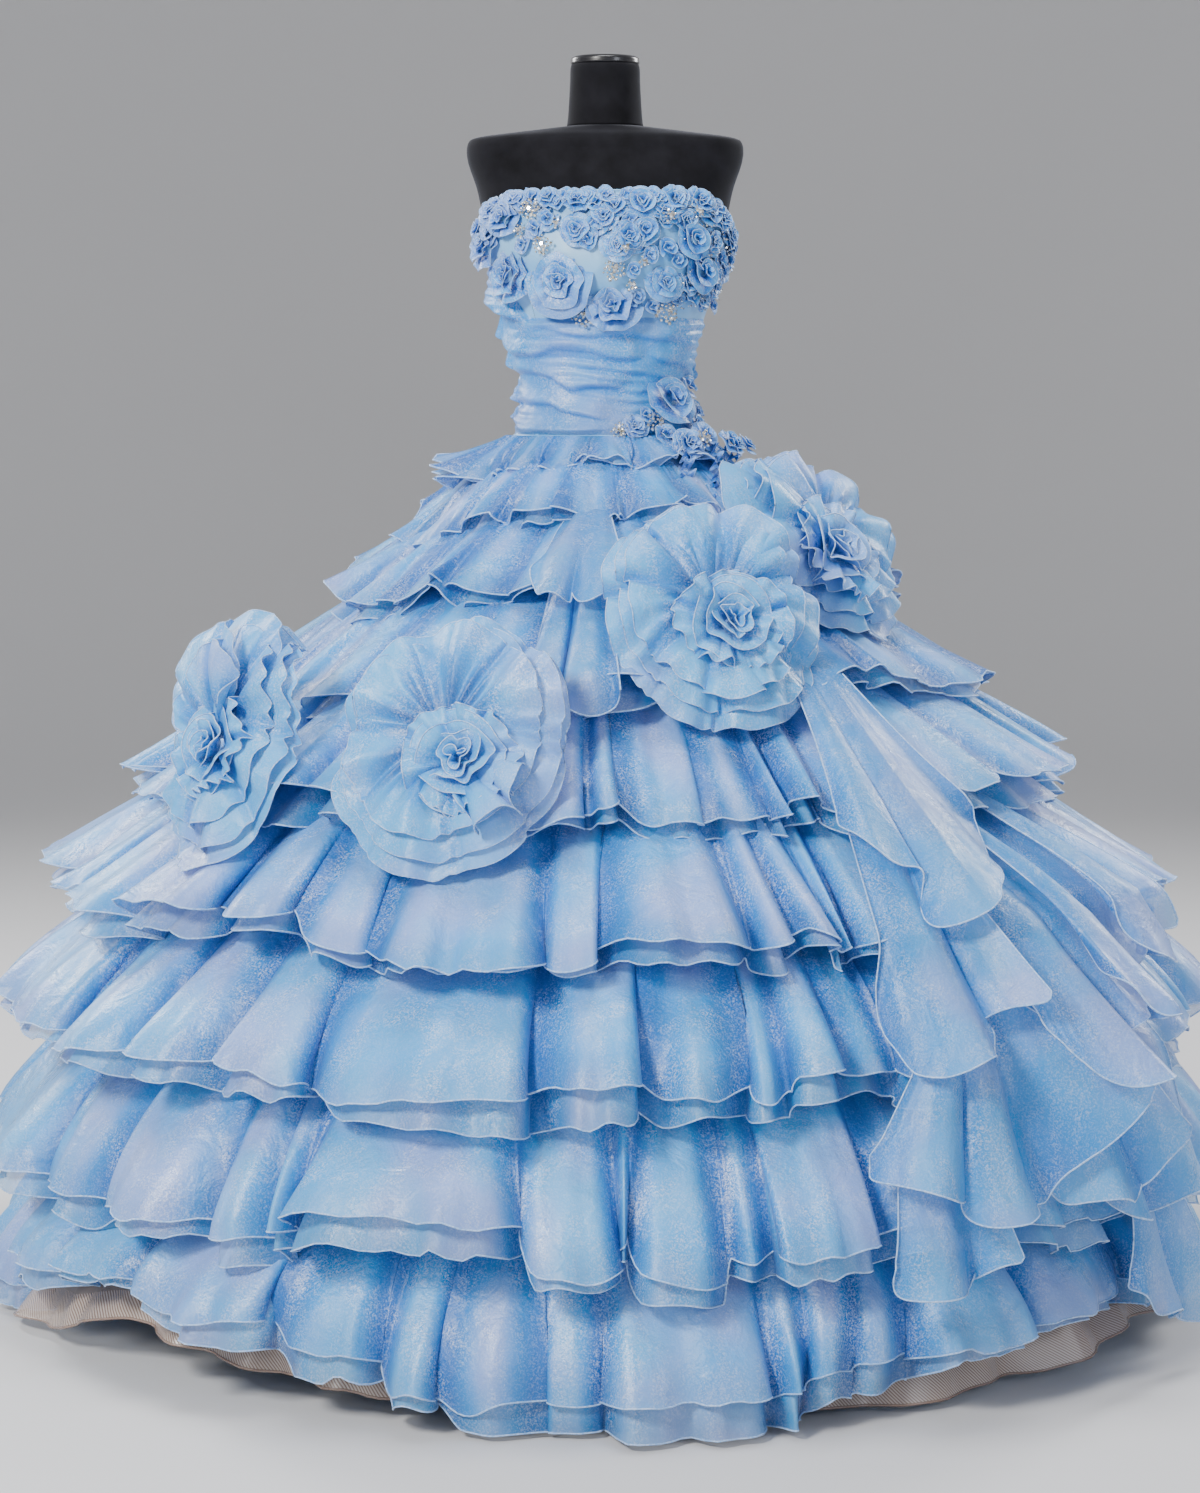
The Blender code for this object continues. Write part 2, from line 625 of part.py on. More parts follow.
def make_rosettes():
    """Each rosette's heart reaches back through the ruffle to the cloth it is sewn to."""
    tree = surface_of_all()
    for name, angle, height, tilt, radius in ROSETTES:
        facing = facing_of(angle, tilt)
        on_cloth = outer_radius(tree, angle, height)
        middle = on_oval(angle, on_cloth, on_cloth, height)
        lift = highest_cloth(tree, middle, facing, radius, ROSETTE_CUP) + ROSETTE_WALL + ROSETTE_CLEAR
        middle += on_oval(angle, lift, lift, 0.0) / facing.xy.length
        rosette_ruffle(name + "_ruffle", middle, facing, radius)
        stem_end = highest_cloth(tree, middle, facing, STEM_RADIUS) + GAP
        sections = [(STEM_RADIUS, stem_end)]
        sections += [(STEM_RADIUS * share, level) for share, level in HEART_PROFILE]
        round_solid(name + "_heart", middle, facing, sections, HEART_SIDES, "rose_cloth")


def make_roses():
    """Small roses that sit flat on the highest point of the cloth under them."""
    tree = surface_of_all()
    for name, angle, height, radius in ROSES:
        level = on_oval(angle, 1.0, 1.0, 0.0)
        hit, normal = tree.ray_cast(level * OUTSIDE + Vector((0.0, 0.0, height)), -level)[:2]
        foot = hit + normal * (highest_cloth(tree, hit, normal, radius * ROSE_PROFILE[0][0]) + GAP)
        sections = [(radius * width, radius * tall) for width, tall in ROSE_PROFILE]
        round_solid(name, foot, normal, sections, ROSE_SIDES, "rose_cloth")


# ---- build ----------------------------------------------------------------------------------
def build_gown():
    for old in list(bpy.data.objects):
        bpy.data.objects.remove(old, do_unlink=True)
    make_form()
    make_bodice()
    make_zip_fittings()
    make_foundation(columns=TIERS[0][6] * FLUTE_COLUMNS // 2)
    make_peplum()
    make_tiers()
    make_petticoat()
    make_cascade()
    make_rosettes()
    make_roses()


build_gown()
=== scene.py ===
"""Strapless ball gown of sky-blue organza on a black velvet dress form.

Metres, +Z up, the gown's front towards -Y and the wearer's left towards +X. Angles are degrees from
the centre front towards +X, so 180 is the centre back.
"""
import json
import math

import bpy
import numpy as np
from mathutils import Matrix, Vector
from mathutils.bvhtree import BVHTree

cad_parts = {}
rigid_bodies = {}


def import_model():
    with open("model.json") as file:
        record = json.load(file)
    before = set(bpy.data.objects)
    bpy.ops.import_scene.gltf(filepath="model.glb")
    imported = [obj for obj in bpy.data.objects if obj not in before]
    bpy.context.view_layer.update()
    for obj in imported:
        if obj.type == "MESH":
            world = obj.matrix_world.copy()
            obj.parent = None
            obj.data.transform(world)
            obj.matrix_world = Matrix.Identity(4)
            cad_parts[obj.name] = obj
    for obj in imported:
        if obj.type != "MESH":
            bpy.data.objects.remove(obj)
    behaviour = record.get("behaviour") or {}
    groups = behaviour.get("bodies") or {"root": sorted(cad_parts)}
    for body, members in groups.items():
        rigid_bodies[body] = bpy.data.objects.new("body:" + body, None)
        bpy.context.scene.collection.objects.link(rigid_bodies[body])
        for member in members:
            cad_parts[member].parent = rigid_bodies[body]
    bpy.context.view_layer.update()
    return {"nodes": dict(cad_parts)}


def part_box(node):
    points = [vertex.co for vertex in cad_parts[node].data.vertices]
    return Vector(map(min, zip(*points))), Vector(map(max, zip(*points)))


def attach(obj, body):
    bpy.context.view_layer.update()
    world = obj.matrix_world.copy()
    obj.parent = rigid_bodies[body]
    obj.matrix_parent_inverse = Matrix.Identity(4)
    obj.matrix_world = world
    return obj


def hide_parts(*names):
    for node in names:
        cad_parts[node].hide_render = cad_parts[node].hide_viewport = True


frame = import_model()


# ---- Dress form -----------------------------------------------------------------------------
# A limbless display torso: papier-mache and foam under a sewn cover of black cotton velvet, with a
# padded neck block under a small enamelled cap. It is turned and carved to the sections below.
def colour(code):
    """sRGB hex to linear red, green, blue and a full alpha."""
    shares = [int(code[place:place + 2], 16) / 255 for place in (0, 2, 4)]
    return [share / 12.92 if share <= 0.04045 else ((share + 0.055) / 1.055) ** 2.4
            for share in shares] + [1.0]


def add_node(tree, kind, inputs=None, stops=(), **settings):
    """A node with its settings, a value or a link for each input named, and a ramp's stops."""
    node = tree.nodes.new(kind)
    for name, value in settings.items():
        setattr(node, name, value)
    for name, value in (inputs or {}).items():
        if isinstance(value, bpy.types.NodeSocket):
            tree.links.new(value, node.inputs[name])
        else:
            node.inputs[name].default_value = value
    for index, (place, code) in enumerate(stops):
        elements = node.color_ramp.elements
        stop = elements[index] if index < len(elements) else elements.new(place)
        stop.position, stop.color = place, colour(code)
    return node


def new_material(name, inputs):
    """A material whose Principled shader has these constant inputs."""
    material = bpy.data.materials.new(name)
    material.use_nodes = True
    shader = material.node_tree.nodes["Principled BSDF"]
    for socket, value in inputs.items():
        shader.inputs[socket].default_value = value
    return material, material.node_tree, shader


def drive(tree, shader, outputs):
    """Link an output to each of the shader's inputs named."""
    for name, output in outputs.items():
        tree.links.new(output, shader.inputs[name])


def patterned_material(name, constants, shade=None, gloss=None, relief=None, chart="Object"):
    """A material whose colour, roughness and relief may each follow a texture on the piece.

    Each starts with its texture: the kind, the inputs, and any settings or output that differ.
    shade adds the places and colours of its stops, gloss its least and most roughness, and relief
    the strength and the distance of its bump.
    """
    material, tree, shader = new_material(name, constants)
    place = add_node(tree, "ShaderNodeTexCoord").outputs[chart]
    drawn = {}
    for use, look in (("shade", shade), ("gloss", gloss), ("relief", relief)):
        if look:
            texture = dict(look[0])
            output = texture.pop("output", "Fac")
            inputs = {"Vector": place, **texture.pop("inputs")}
            drawn[use] = add_node(tree, inputs=inputs, **texture).outputs[output]
    if shade:
        tint = add_node(tree, "ShaderNodeValToRGB", {"Fac": drawn["shade"]}, stops=shade[1:])
        drive(tree, shader, {"Base Color": tint.outputs["Color"]})
    if gloss:
        rough = add_node(tree, "ShaderNodeMapRange",
                         {"Value": drawn["gloss"], "To Min": gloss[1], "To Max": gloss[2]})
        drive(tree, shader, {"Roughness": rough.outputs["Result"]})
    if relief:
        bump = add_node(tree, "ShaderNodeBump", {"Height": drawn["relief"], "Strength": relief[1],
                                                 "Distance": relief[2]})
        drive(tree, shader, {"Normal": bump.outputs["Normal"]})
    return material


def smooth(table, places, column=1):
    """A table's column at places along its first, on a smooth curve that never overshoots."""
    rows = np.array(sorted(tuple(row) for row in table), float)
    x, y = rows[:, 0], rows[:, column]
    secant = np.diff(y) / np.diff(x)
    slope = np.concatenate([secant[:1], (secant[1:] + secant[:-1]) / 2, secant[-1:]])
    for index in range(1, len(x) - 1):
        low, high = secant[index - 1], secant[index]
        if low * high <= 0:
            slope[index] = 0.0
        else:
            slope[index] = np.sign(low) * min(abs(slope[index]), 3 * abs(low), 3 * abs(high))
    places = np.clip(np.asarray(places, float), x[0], x[-1])
    index = np.clip(np.searchsorted(x, places) - 1, 0, len(x) - 2)
    width = x[index + 1] - x[index]
    share = (places - x[index]) / width
    rest = 1 - share
    return (y[index] * rest * rest * (1 + 2 * share)
            + y[index + 1] * share * share * (3 - 2 * share)
            + slope[index] * width * share * rest * rest
            - slope[index + 1] * width * share * share * rest)


def on_oval(angle, half_width, half_depth, height, forward=0.0):
    """Points round the axis: sizes and angles may be numbers or arrays of one shape."""
    turn = np.radians(angle)
    return np.stack(np.broadcast_arrays(half_width * np.sin(turn),
                                        -half_depth * np.cos(turn) - forward, height), -1)


def grid_faces(rows, columns, closed, rolled=False):
    """Quads over a grid, rows from the top down, columns to the left of who wears it.

    closed joins the last column to the first, and rolled the last row to the first.
    """
    number = np.arange(rows * columns).reshape(rows, columns)
    if rolled:
        number = np.concatenate([number, number[:1]])
    here = number if closed else number[:, :-1]
    after = np.roll(number, -1, axis=1) if closed else number[:, 1:]
    return np.stack([here[:-1], here[1:], after[1:], after[:-1]], -1).reshape(-1, 4)


def lengths_along(points):
    """Distance run along each row of points from its first one."""
    steps = np.linalg.norm(np.diff(points, axis=1), axis=2)
    return np.concatenate([np.zeros((len(points), 1)), np.cumsum(steps, axis=1)], axis=1)


def add_mesh(name, points, faces, materials, slots=None, corners=None, attributes=None):
    """A smooth mesh object: UVs in metres for each face corner, and numbers for each point."""
    mesh = bpy.data.meshes.new(name)
    mesh.from_pydata(np.asarray(points).reshape(-1, 3).tolist(), [], faces.tolist()
                     if isinstance(faces, np.ndarray) else faces)
    for material in materials:
        mesh.materials.append(material)
    if slots is not None:
        mesh.polygons.foreach_set("material_index", np.asarray(slots, np.int32))
    if corners is not None:
        layer = mesh.uv_layers.new(name="UVMap")
        layer.uv.foreach_set("vector", np.asarray(corners, np.float32).ravel())
    for key, values in (attributes or {}).items():
        mesh.attributes.new(key, "FLOAT", "POINT").data.foreach_set(
            "value", np.asarray(values, np.float32).ravel())
    mesh.shade_smooth()
    mesh.update()
    piece = bpy.data.objects.new(name, mesh)
    bpy.context.scene.collection.objects.link(piece)
    return piece


def add_sheet(name, points, material, closed=False, attributes=None):
    """One layer of cloth over a grid of points; U runs along it and V up from its last row."""
    rows, columns = points.shape[:2]
    faces = grid_faces(rows, columns, closed)
    whole = np.concatenate([points, points[:, :1]], axis=1) if closed else points
    along = lengths_along(whole)[-1]
    up = lengths_along(np.swapaxes(whole[::-1], 0, 1)).T[::-1]
    chart = np.stack([np.broadcast_to(along, up.shape), up], -1)
    corners = np.stack([chart[:-1, :-1], chart[1:, :-1], chart[1:, 1:], chart[:-1, 1:]], 2)
    return add_mesh(name, points, faces, [material], corners=corners.reshape(-1, 2),
                    attributes=attributes)


def closed_solid(name, rings, material):
    """A solid through rings of points from the top down, with a fan over each end."""
    rings = np.asarray(rings)
    rows, columns = rings.shape[:2]
    faces = grid_faces(rows, columns, True).tolist()
    top, bottom = rows * columns, rows * columns + 1
    last = (rows - 1) * columns
    for index in range(columns):
        after = (index + 1) % columns
        faces.append([top, index, after])
        faces.append([bottom, last + after, last + index])
    points = np.concatenate([rings.reshape(-1, 3), [rings[0].mean(0)], [rings[-1].mean(0)]])
    return add_mesh(name, points, faces, [material])


def fasten(slot, *pieces):
    """Let pieces ride with the gown, which is one body; slot is not used."""
    for piece in pieces:
        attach(piece, "root")


def coat(material, *names):
    """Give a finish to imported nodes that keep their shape."""
    for name in names:
        slots = frame["nodes"][name].data.materials
        slots.clear()
        slots.append(material)


TORSO = (
    # height, half width, half depth, forward shift
    (0.930, 0.136, 0.104, 0.000),
    (0.942, 0.150, 0.116, 0.000),
    (1.000, 0.152, 0.118, 0.000),
    (1.100, 0.127, 0.098, 0.000),
    (1.170, 0.100, 0.080, 0.000),
    (1.250, 0.116, 0.092, 0.004),
    (1.350, 0.147, 0.116, 0.014),
    (1.440, 0.166, 0.100, 0.006),
    (1.490, 0.180, 0.084, 0.000),
    (1.502, 0.178, 0.080, 0.000),
    (1.509, 0.165, 0.074, 0.000),
    (1.516, 0.110, 0.062, 0.000),
    (1.522, 0.056, 0.054, 0.000),
)
TORSO_RINGS = ((0.930, 0.945, 6), (0.950, 1.485, 56), (1.488, 1.522, 22))    # from, to, how many
FORM_COLUMNS = 96
NECK = ((1.5225, 0.0500), (1.5300, 0.0488), (1.5500, 0.0472), (1.5800, 0.0456), (1.5990, 0.0448),
        (1.6025, 0.0436))       # height, radius
NECK_CAP = ((1.6030, 0.0436), (1.6040, 0.0445), (1.6085, 0.0445), (1.6110, 0.0430),
            (1.6127, 0.0395))


def torso_ring(angle, height, out=0.0):
    """Points on the torso, or a distance off it, at angles and heights."""
    return on_oval(angle, smooth(TORSO, height, 1) + out, smooth(TORSO, height, 2) + out, height,
                   smooth(TORSO, height, 3))


# cotton velvet: a pile that swallows light face on and turns grey where it is seen edge on. Its
# tufts are about 1 mm apart and its nap is brushed in patches as wide as a hand.
velvet = patterned_material(
    "black_cotton_velvet_pile",
    {"Roughness": 0.92, "Specular IOR Level": 0.12, "Sheen Weight": 0.55, "Sheen Roughness": 0.35,
     "Sheen Tint": colour("8C8E98")},
    shade=(dict(kind="ShaderNodeTexNoise", inputs={"Scale": 22.0, "Detail": 4.0, "Roughness": 0.6}),
           (0.30, "0E0E11"), (0.70, "1B1B20")),
    relief=(dict(kind="ShaderNodeTexNoise", inputs={"Scale": 900.0, "Detail": 2.0}), 0.25, 0.0006))

# stove enamel on sheet steel: smooth and dark, with a soft gloss and a faint orange peel 4 mm wide
enamel = patterned_material(
    "black_stove_enamel",
    {"Base Color": colour("15151A"), "Roughness": 0.32, "Coat Weight": 0.4, "Coat Roughness": 0.18},
    gloss=(dict(kind="ShaderNodeTexNoise", inputs={"Scale": 9.0, "Detail": 5.0}), 0.26, 0.42),
    relief=(dict(kind="ShaderNodeTexNoise", inputs={"Scale": 260.0, "Detail": 1.0}), 0.10, 0.0004))

form_angles = np.arange(FORM_COLUMNS) * 360 / FORM_COLUMNS
torso_heights = np.concatenate([np.linspace(*rings) for rings in TORSO_RINGS])[::-1]
torso = closed_solid("torso_cover", [torso_ring(form_angles, height) for height in torso_heights],
                     velvet)
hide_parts("form_torso")
fasten("velvet", torso)

for name, node, table, count, material, slot in (
        ("neck_cover", "form_neck", NECK, 26, velvet, "velvet"),
        ("neck_cap", "form_neck_cap", NECK_CAP, 12, enamel, "black_enamel")):
    rings = [on_oval(form_angles, smooth(table, height), smooth(table, height), height)
             for height in np.linspace(table[-1][0], table[0][0], count)]
    piece = closed_solid(name, rings, material)
    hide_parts(node)
    fasten(slot, piece)

# the pole is a drawn steel tube and the base a pressed steel plate
coat(enamel, "form_pole", "form_base")


# ---- Foundation skirt -----------------------------------------------------------------------
# One flared tube of duchess satin, stiff enough to stand off the body. Every flounce is sewn to
# it, so only its inside and a little of its hem ever show.
FOUNDATION = (
    # height, half width, half depth
    (1.125, 0.1240, 0.0980),
    (1.030, 0.1835, 0.1585),
    (0.900, 0.3070, 0.2970),
    (0.720, 0.4560, 0.4560),
    (0.500, 0.5800, 0.5800),
    (0.050, 0.6600, 0.6600),
)
FOUNDATION_COLUMNS = 144
FOUNDATION_ROWS = 26
FOUNDATION_FLUTES = (9, 0.006)           # how many, and how far out
FOUNDATION_INSET = 0.004                 # the cloth lies this far inside the flounces' seams

# duchess satin: long floats on the face, so broad soft highlights and no grain at arm's length. The
# floats are drawn 1 mm wide and 11 mm long along the grain.
satin, satin_tree, satin_shader = new_material(
    "sky_blue_duchess_satin",
    {"Roughness": 0.40, "Specular IOR Level": 0.45, "Sheen Weight": 0.25, "Sheen Roughness": 0.4,
     "Sheen Tint": colour("DCE6FA")})
satin_place = add_node(satin_tree, "ShaderNodeTexCoord").outputs
satin_cloud = add_node(satin_tree, "ShaderNodeTexNoise",
                       {"Vector": satin_place["Object"], "Scale": 13.0, "Detail": 3.0})
satin_shade = add_node(satin_tree, "ShaderNodeValToRGB", {"Fac": satin_cloud.outputs["Fac"]},
                       stops=((0.30, "62B0EA"), (0.70, "A2D4F8")))
satin_grain = add_node(satin_tree, "ShaderNodeMapping",
                       {"Vector": satin_place["UV"], "Scale": (900.0, 90.0, 1.0)})
satin_floats = add_node(satin_tree, "ShaderNodeTexNoise",
                        {"Vector": satin_grain.outputs["Vector"], "Scale": 1.0, "Detail": 2.0})
satin_slub = add_node(satin_tree, "ShaderNodeTexNoise",
                      {"Vector": satin_place["Object"], "Scale": 60.0, "Detail": 3.0})
satin_relief = add_node(satin_tree, "ShaderNodeMath",
                        {0: satin_floats.outputs["Fac"], 1: satin_slub.outputs["Fac"]},
                        operation="ADD")
satin_bump = add_node(satin_tree, "ShaderNodeBump", {"Height": satin_relief.outputs["Value"],
                                                     "Strength": 0.18, "Distance": 0.0005})
drive(satin_tree, satin_shader, {"Base Color": satin_shade.outputs["Color"],
                                 "Normal": satin_bump.outputs["Normal"]})

foundation_angles = np.arange(FOUNDATION_COLUMNS) * 360 / FOUNDATION_COLUMNS
foundation_heights = np.linspace(FOUNDATION[0][0], FOUNDATION[-1][0], FOUNDATION_ROWS)[:, None]
foundation_turn = np.radians(foundation_angles)
foundation_wander = 1.3 * np.sin(foundation_turn * 2)
foundation_out = (FOUNDATION_FLUTES[1]
                  * np.sin(foundation_turn * FOUNDATION_FLUTES[0] + foundation_wander)
                  * np.clip(1.0 - foundation_heights, 0, 1)) - FOUNDATION_INSET
foundation = add_sheet("foundation_satin", on_oval(
    foundation_angles, smooth(FOUNDATION, foundation_heights, 1) + foundation_out,
    smooth(FOUNDATION, foundation_heights, 2) + foundation_out, foundation_heights),
    satin, closed=True)
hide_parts("foundation_skirt")
fasten("satin", foundation)


# ---- Skirt tiers ----------------------------------------------------------------------------
# Five tiers round the skirt. Each is two flounces of crisp silk organza cut as rings and seamed
# end to end: a shorter upper layer over a longer, sheerer one, both with a rolled hem. The inner
# edge is sewn to the foundation, so the longer outer edge falls in deep flutes.
TIERS = (
    # name, seam height, hem height, hem radius, crests out, valleys in, fullness
    ("tier_1", 0.870, 0.700, 0.595, 0.036, 0.032, 1.00),
    ("tier_2", 0.740, 0.560, 0.695, 0.038, 0.034, 1.05),
    ("tier_3", 0.600, 0.395, 0.752, 0.040, 0.034, 1.30),
    ("tier_4", 0.435, 0.215, 0.776, 0.036, 0.032, 1.45),
    ("tier_5", 0.250, 0.045, 0.770, 0.030, 0.028, 1.60),
)
FLUTES = {
    # angle at which each flute of the front starts, and how far its hem is lifted
    "tier_1": ((-50, 0.004), (-37, 0.010), (-24, -0.010), (-13, 0.000), (-3, 0.010), (0.5, -0.004),
               (12.5, 0.002), (19, -0.008), (22.5, 0.006), (27, -0.010), (40, 0.012), (52, -0.004)),
    "tier_2": ((-54, 0.000), (-42, 0.012), (-32.5, -0.006), (-24.7, -0.010), (-7.4, -0.012),
               (0.3, 0.004), (13.2, -0.006), (17.3, 0.008), (21.4, -0.008), (25, 0.008),
               (37, 0.000), (50, 0.012)),
    "tier_3": ((-60, 0.000), (-46, 0.008), (-35.5, 0.004), (-27.3, -0.014), (-6.7, 0.004),
               (3.6, -0.004), (13.2, -0.014), (16, 0.004), (20.6, 0.008), (26, -0.006), (38, 0.004),
               (52, -0.008)),
    "tier_4": ((-62, 0.000), (-50, 0.006), (-36.5, -0.010), (-30.8, 0.006), (-26.8, 0.034),
               (-8.5, -0.004), (0.4, 0.010), (2.7, -0.030), (10, 0.004), (12.8, -0.006),
               (23.7, 0.010), (36, -0.006), (50, 0.004)),
    "tier_5": ((-72, 0.070), (-58, 0.095), (-44.4, 0.070), (-28.9, 0.036), (-19.5, 0.012),
               (-13.7, -0.008), (-5.8, -0.004), (-0.4, -0.010), (13.7, -0.004), (17.8, 0.010),
               (22.8, 0.024), (27.5, 0.046), (40, 0.066), (55, 0.058), (68, 0.030)),
}
TIER_CUTS = {
    # flat length of the outer edge, depth, and flat area of the ring, for the under layer
    "tier_1": (5.6, 0.30, 1.15),
    "tier_2": (6.3, 0.30, 1.45),
    "tier_3": (6.9, 0.30, 1.75),
    "tier_4": (7.0, 0.30, 1.85),
    "tier_5": (6.8, 0.28, 1.55),
}
UNDER_DROP = 0.028               # the under layer hangs this much lower
UPPER_SHARE = 0.87               # of the under layer's depth
FLUTE_POINTS = 26                # columns in each flute
HEM_ROLL = 0.0011                # radius of the rolled hem
BELL = 0.006                     # outward bow at mid depth
FLOOR_GAP = 0.007                # a hem stays at least this far off the floor
DENTS = (
    # depth, how many round a flounce, how far and how often they wander, their slant going down
    (0.0045, 29, 2.0, 7, 5),
    (0.0030, 61, 1.7, 11, -3),
)
GATHERS = (150, 0.0030)          # how many along a seam, and their depth
OPENING = 1.25                   # a flute opens as this power of the way down
SEAM_OFF = 0.003                 # a flounce starts this far off the foundation
NARROW = 0.13                    # a flute under this width may lie back between its neighbours
FULL_WIDTH = 0.18                # a flute this wide stands out in full

# silk organza: crisp, sheer and lustrous. Its colour holds painted light and shade: a pale lilac
# blue where a face would be lit, and a deep clear blue as painted shade where two layers lie
# together or a fold closes, following each piece's painted fold shade. Light caught by the yarns is
# painted in as pale specks, painted highlights drawn about 2 mm apart so that they show, in streaks
# about 40 mm wide that run down the cloth.
def organza_material(name, deep, middle, pale, tinge, alpha=1.0, hem_alpha=1.0):
    material, tree, shader = new_material(
        name, {"Roughness": 0.40, "Specular IOR Level": 0.65, "Sheen Weight": 0.22,
               "Sheen Roughness": 0.28, "Sheen Tint": colour("C4D6FA"), "Alpha": alpha})
    place = add_node(tree, "ShaderNodeTexCoord").outputs["Object"]
    # the painted shade of folds and seams, set on each point by the code that builds the piece
    fold = add_node(tree, "ShaderNodeAttribute", attribute_name="fold").outputs["Fac"]
    cloud = add_node(tree, "ShaderNodeTexNoise",
                     {"Vector": place, "Scale": 7.0, "Detail": 2.0, "Roughness": 0.55})
    drift = add_node(tree, "ShaderNodeMath", {0: cloud.outputs["Fac"], 1: 0.6, 2: -0.24},
                     operation="MULTIPLY_ADD")
    # painted shade plus random clouds of tone; the ramp below makes it pale where lit, deep blue in
    # shade
    depth = add_node(tree, "ShaderNodeMath", {0: fold, 1: drift.outputs["Value"]}, operation="ADD")
    body = add_node(tree, "ShaderNodeValToRGB", {"Fac": depth.outputs["Value"]},
                    stops=((0.00, pale), (0.30, middle), (0.90, deep)))
    # a lilac tinge in random patches, kept off the painted shade so that it lies on faces that read
    # as lit: partly the cloth's shot colour, partly painted light
    blush = add_node(tree, "ShaderNodeTexNoise", {"Vector": place, "Scale": 5.5, "Detail": 2.0})
    blush_share = add_node(tree, "ShaderNodeMapRange",
                           {"Value": blush.outputs["Fac"], "From Min": 0.46, "From Max": 0.62,
                            "To Min": 0.0, "To Max": 0.85})
    away_from_painted_shade = add_node(tree, "ShaderNodeMapRange",
                   {"Value": depth.outputs["Value"], "From Min": 0.15, "From Max": 0.60,
                    "To Min": 1.0, "To Max": 0.0})
    blush_off_painted_shade = add_node(tree, "ShaderNodeMath",
                         {0: blush_share.outputs["Result"], 1: away_from_painted_shade.outputs["Result"]},
                         operation="MULTIPLY")
    tinted = add_node(tree, "ShaderNodeMix",
                      {"Factor": blush_off_painted_shade.outputs["Value"], "A": body.outputs["Color"],
                       "B": colour(tinge)}, data_type="RGBA")
    # painted highlights: near-white specks mixed into the colour where fine sparks meet broad
    # streaks running down the cloth; the sparks also roughen the bump
    spark = add_node(tree, "ShaderNodeTexNoise",
                     {"Vector": place, "Scale": 420.0, "Detail": 2.0, "Roughness": 0.80})
    spark_share = add_node(tree, "ShaderNodeMapRange",
                           {"Value": spark.outputs["Fac"], "From Min": 0.46, "From Max": 0.66,
                            "To Min": 0.0, "To Max": 1.0})
    hang = add_node(tree, "ShaderNodeMapping", {"Vector": place, "Scale": (26.0, 26.0, 6.0)})
    streak = add_node(tree, "ShaderNodeTexNoise", {"Vector": hang.outputs["Vector"], "Scale": 1.0,
                                                   "Detail": 3.0, "Distortion": 0.8})
    streak_share = add_node(tree, "ShaderNodeMapRange",
                            {"Value": streak.outputs["Fac"], "From Min": 0.40, "From Max": 0.66,
                             "To Min": 0.15, "To Max": 0.72})
    glint = add_node(tree, "ShaderNodeMath",
                     {0: streak_share.outputs["Result"], 1: spark_share.outputs["Result"]},
                     operation="MULTIPLY")
    lit = add_node(tree, "ShaderNodeMix",
                   {"Factor": glint.outputs["Value"], "A": tinted.outputs["Result"],
                    "B": colour("D2DDFB")}, data_type="RGBA")
    gloss = add_node(tree, "ShaderNodeMapRange",
                     {"Value": streak.outputs["Fac"], "From Min": 0.35, "From Max": 0.65,
                      "To Min": 0.46, "To Max": 0.24})
    crumple = add_node(tree, "ShaderNodeTexNoise", {"Vector": place, "Scale": 24.0, "Detail": 3.0,
                                                    "Roughness": 0.60, "Distortion": 0.6})
    relief = add_node(tree, "ShaderNodeMath",
                      {0: crumple.outputs["Fac"], 1: 7.0, 2: spark.outputs["Fac"]},
                      operation="MULTIPLY_ADD")
    bump = add_node(tree, "ShaderNodeBump",
                    {"Height": relief.outputs["Value"], "Strength": 0.45, "Distance": 0.0013})
    drive(tree, shader, {"Base Color": lit.outputs["Result"], "Roughness": gloss.outputs["Result"],
                         "Normal": bump.outputs["Normal"]})
    if hem_alpha == alpha == 1.0:
        return material
    chart = add_node(tree, "ShaderNodeSeparateXYZ",
                     {"Vector": add_node(tree, "ShaderNodeTexCoord").outputs["UV"]})
    sheer = add_node(tree, "ShaderNodeMapRange",
                     {"Value": chart.outputs["Y"], "From Min": 0.010, "From Max": 0.055,
                      "To Min": hem_alpha, "To Max": alpha})
    drive(tree, shader, {"Alpha": sheer.outputs["Result"]})
    return material


organza = organza_material("sky_blue_silk_organza", "0068BC", "1494E2", "5CB0EE", "8CA6E8",
                           1.0, 0.76)
sheer_organza = organza_material("sheer_under_organza", "0670BE", "2098DE", "62B0E8", "90A8E4",
                                 0.90, 0.66)

# rolled hem: the raw edge turned under twice and bound with a pale rayon thread, 3 mm a stitch. Its
# pale blue also stands in for light along every edge, a painted highlight.
hem_thread_highlight = patterned_material(
    "pale_blue_rolled_hem", {"Roughness": 0.45, "Sheen Weight": 0.5, "Sheen Roughness": 0.3},
    shade=(dict(kind="ShaderNodeTexNoise", inputs={"Scale": 300.0, "Detail": 1.0}),
           (0.35, "84B4EA"), (0.65, "BED6F7")))


def eased(share):
    """A share from 0 to 1 that starts and ends gently."""
    return share * share * (3 - 2 * share)


def flute_edges(front, rng):
    """Start angle and lift of every flute: the front's as listed, the rest in the same manner."""
    edges = list(front)
    around = front[0][0] + 360
    while around - edges[-1][0] > 23:
        edges.append((edges[-1][0] + rng.choice((5, 8, 11, 15, 20)) + rng.uniform(-1, 1),
                      rng.uniform(-0.016, 0.018)))
    return np.array(edges + [(around, front[0][1])])


